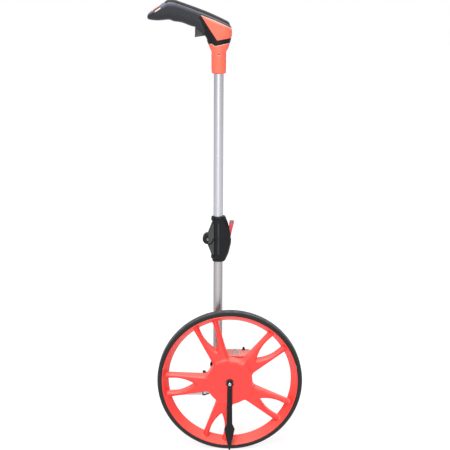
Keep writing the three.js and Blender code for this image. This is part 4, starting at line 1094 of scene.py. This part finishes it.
def handle():
    """The handle's pieces, cut from one body: two half shells, the grip, the top strip and the band."""
    grid = Grid((-150, -17.5, 0), (29, 17.5, 152), 0.9)
    x, y, z = grid.axes
    body = union(loft(x, z, y, GRIP_STATIONS), loft(z, x, y, NECK_STATIONS), soft=5)
    body = levelled(body, grid.step)
    strip = outline(x, z, [*STRIP_LINE, (-113, 158), (30, 158), (30, 100)])
    panel = cut(outline(x, z, PANEL), strip)
    band = cut(outline(x, z, BAND), strip, panel)
    butt = cut(outline(x, z, BUTT), strip)
    neck = outline(x, z, NECK_PART)
    grip = cut(outline(x, z, ABOVE_NECK), strip, band, panel, butt)
    slot = outline(x, z, STRAP_SLOT, 1.4)
    pocket = common(outline(x, z, TRIGGER_POCKET), np.abs(y) - 5.5)
    pivot = common(pin(x, z, joint_at("trigger_pull") - NECK, 1.3), np.abs(y) - TRIGGER_PIN_HALF)
    bore = common(np.hypot(x, y) - 10.8, z - 46.5)
    screws = [common(pin(x, z, middle(f"handle_screw_{i}") - NECK, 3), 9.4 - y) for i in (1, 2)]
    openings = [slot, pocket, pivot, *screws]

    dash = common(np.abs(x) - 3.2, slab(z, 39.2, 40.9), 14.6 - np.abs(y))
    lines = common(np.abs(np.abs(x) - 8.6) - 0.7, slab(z, 5, 37), 15.1 - np.abs(y))
    lip = common(slab(z, 4.6, 5.4), -body - 0.5)
    surface_parts = common(body, np.minimum.reduce([panel, neck, butt]) + INLAY_GAP, soft=0.3)
    core = cut(union(body + SKIN + 0.6, surface_parts), bore, *openings, dash, lines, lip, soft=0.5)
    skin = cut(common(body, -body - SKIN), *openings, soft=0.5)

    def inlay(region):
        return common(skin, region + INLAY_GAP, soft=0.3)

    return {"front": carved(grid, common(core, y + SPLIT_GAP, soft=0.4)),
            "rear": carved(grid, common(core, SPLIT_GAP - y, soft=0.4)),
            "grip": carved(grid, inlay(grip)), "strip": carved(grid, inlay(strip)),
            "band": carved(grid, inlay(band))}


def neck_latch():
    """The small dark insert that fills the slot in the front of the neck: painted shade for the slot's
    hollow.
    """
    low, high = (-3.2, -15.75, 39.25), (3.2, -14.7, 40.85)
    grid = Grid(low, high, 0.1)
    sides = [slab(axis, start, end) for axis, start, end in zip(grid.axes, low, high)]
    return carved(grid, common(*sides, soft=0.15))


def trigger():
    pivot = joint_at("trigger_pull")
    low, high = box("trigger", pivot)
    grid = Grid(low, high, 0.45)
    x, y, z = grid.axes
    side = outline(x, z, [(-20, -12.2), (4.2, -8.4), (5.4, 3), (-3, 8.6), (-19.4, 9)], 1.4)
    recess = common(side + 2.6, 4.2 - np.abs(y), z - 4)
    field = common(side, np.abs(y) - high[1], soft=1.6)
    finger = common(-side - 0.6, slab(z, -4.2, -3.6), x + 5)
    slot = common(slab(x, -4, 4), slab(z, -4, 12), np.abs(y) - 2.6)
    return carved(grid, cut(field, finger, recess, slot, np.hypot(x, z) - 1.5, soft=0.6))


for number in (1, 2):
    fastener(f"handle_screw_{number}", "upper_pole", head=1.6, shank=1.2)
parts = handle()
piece("handle_front", parts["front"], "upper_pole", HANDLE_ORANGE, ["handle_front_shell"], at=NECK)
piece("handle_rear", parts["rear"], "upper_pole", HANDLE_ORANGE, ["handle_rear_shell"], at=NECK)
piece("grip", parts["grip"], "upper_pole", GRIP_RUBBER, ["grip_rubber"], at=NECK)
piece("strip", parts["strip"], "upper_pole", GLOSS_BLACK, ["top_strip"], at=NECK)
piece("band", parts["band"], "upper_pole", BLACK_PLASTIC, ["neck_band"], at=NECK)
# A dark insert in the neck's slot, painted shade for the slot's hollow.
piece("neck_latch", neck_latch(), "upper_pole", SLOT_SHADE_BROWN, at=NECK)
piece("trigger_blade", trigger(), "trigger", TRIGGER_GREY, ["trigger"],
      at=joint_at("trigger_pull"))

# ---- finishes of the pieces kept from the frame


def refinish(material, *nodes):
    for node in nodes:
        mesh = frame["nodes"][node].data
        mesh.materials.clear()
        mesh.materials.append(material)


refinish(BRIGHT_STEEL, "axle", "front_bearing", "rear_bearing", "counter_shaft", "idler_pin", "reset_pin",
         "brake_spring", "lever_pin", "lever_spring", "trigger_pin", "trigger_spring")
refinish(NYLON, "wheel_pinion", "idler_gear", "counter_gear")
refinish(SOFT_RUBBER, "brake_pad", "brake_cable_lower", "brake_cable_upper")

# ---- floor, light and camera


def floor():
    mesh = bpy.data.meshes.new("floor")
    reach = 30.0
    mesh.from_pydata([(-reach, -reach, 0), (reach, -reach, 0), (reach, reach, 0), (-reach, reach, 0)], [],
                     [(0, 1, 2, 3)])
    obj = placed("floor", mesh)
    n = Nodes("floor")
    shade = n.ramp(n.noise(3, 4.0), 0.3, 0.7)
    n.set(Base_Color=n.mix(shade, linear(140, 140, 140), linear(144, 144, 144)), Roughness=0.9,
          Specular_IOR_Level=0.1, Emission_Color=(1, 1, 1, 1), Emission_Strength=0.78)
    mesh.materials.append(n.material)


def lamp(kind, name, energy, place, toward):
    light = bpy.data.lights.new(name, kind)
    light.energy = energy
    obj = placed(name, light)
    obj.location = place
    obj.rotation_euler = Vector(toward).to_track_quat("-Z", "Y").to_euler()
    return light


def softbox(name, place, aim, size, power):
    light = lamp("AREA", name, power, place, Vector(aim) - Vector(place))
    light.shape = "RECTANGLE"
    light.size, light.size_y = size


def sunshine(energy, spread, toward):
    """A broad even light that travels in the direction toward."""
    lamp("SUN", "sun", energy, (0, 0, 0), toward).angle = math.radians(spread)


def daylight(level, overhead):
    """A pale sky, brighter overhead than at the horizon, that looks white behind the object."""
    world = bpy.data.worlds.new("soft_daylight")
    world.use_nodes = True
    tree = world.node_tree
    split = tree.nodes.new("ShaderNodeSeparateXYZ")
    tree.links.new(tree.nodes.new("ShaderNodeTexCoord").outputs["Generated"], split.inputs[0])
    height = tree.nodes.new("ShaderNodeMapRange")
    height.inputs["To Min"].default_value = level
    height.inputs["To Max"].default_value = overhead
    tree.links.new(split.outputs[2], height.inputs["Value"])
    seen = tree.nodes.new("ShaderNodeMapRange")
    seen.inputs["To Max"].default_value = 1.0
    tree.links.new(height.outputs[0], seen.inputs["To Min"])
    tree.links.new(tree.nodes.new("ShaderNodeLightPath").outputs["Is Camera Ray"], seen.inputs["Value"])
    background = tree.nodes["Background"]
    background.inputs["Color"].default_value = (1, 1, 1, 1)
    tree.links.new(seen.outputs[0], background.inputs["Strength"])
    bpy.context.scene.world = world


floor()
daylight(0.24, 0.9)
sunshine(2.0, 36, (0.35, 1.0, -1.6))
softbox("front", (-0.2, -3.0, 1.3), (0, 0, 0.5), (1.6, 1.8), 22)
softbox("back", (0.8, 2.4, 1.8), (0, 0, 0.5), (1.6, 1.6), 10)

CAMERA_PLACE = (-0.0122, -2.0, 0.943)
CAMERA_TILT = 12.25
CAMERA_ROLL = 0.3
CAMERA_LENS = 76.96

camera_data = bpy.data.cameras.new("camera")
camera_data.sensor_width = 36
camera_data.lens = CAMERA_LENS
camera = placed("camera", camera_data)
camera.matrix_world = (Matrix.Translation(CAMERA_PLACE)
                       @ Matrix.Rotation(math.radians(90 - CAMERA_TILT), 4, "X")
                       @ Matrix.Rotation(math.radians(CAMERA_ROLL), 4, "Z"))
bpy.context.scene.camera = camera
bpy.context.scene.view_settings.view_transform = "Standard"
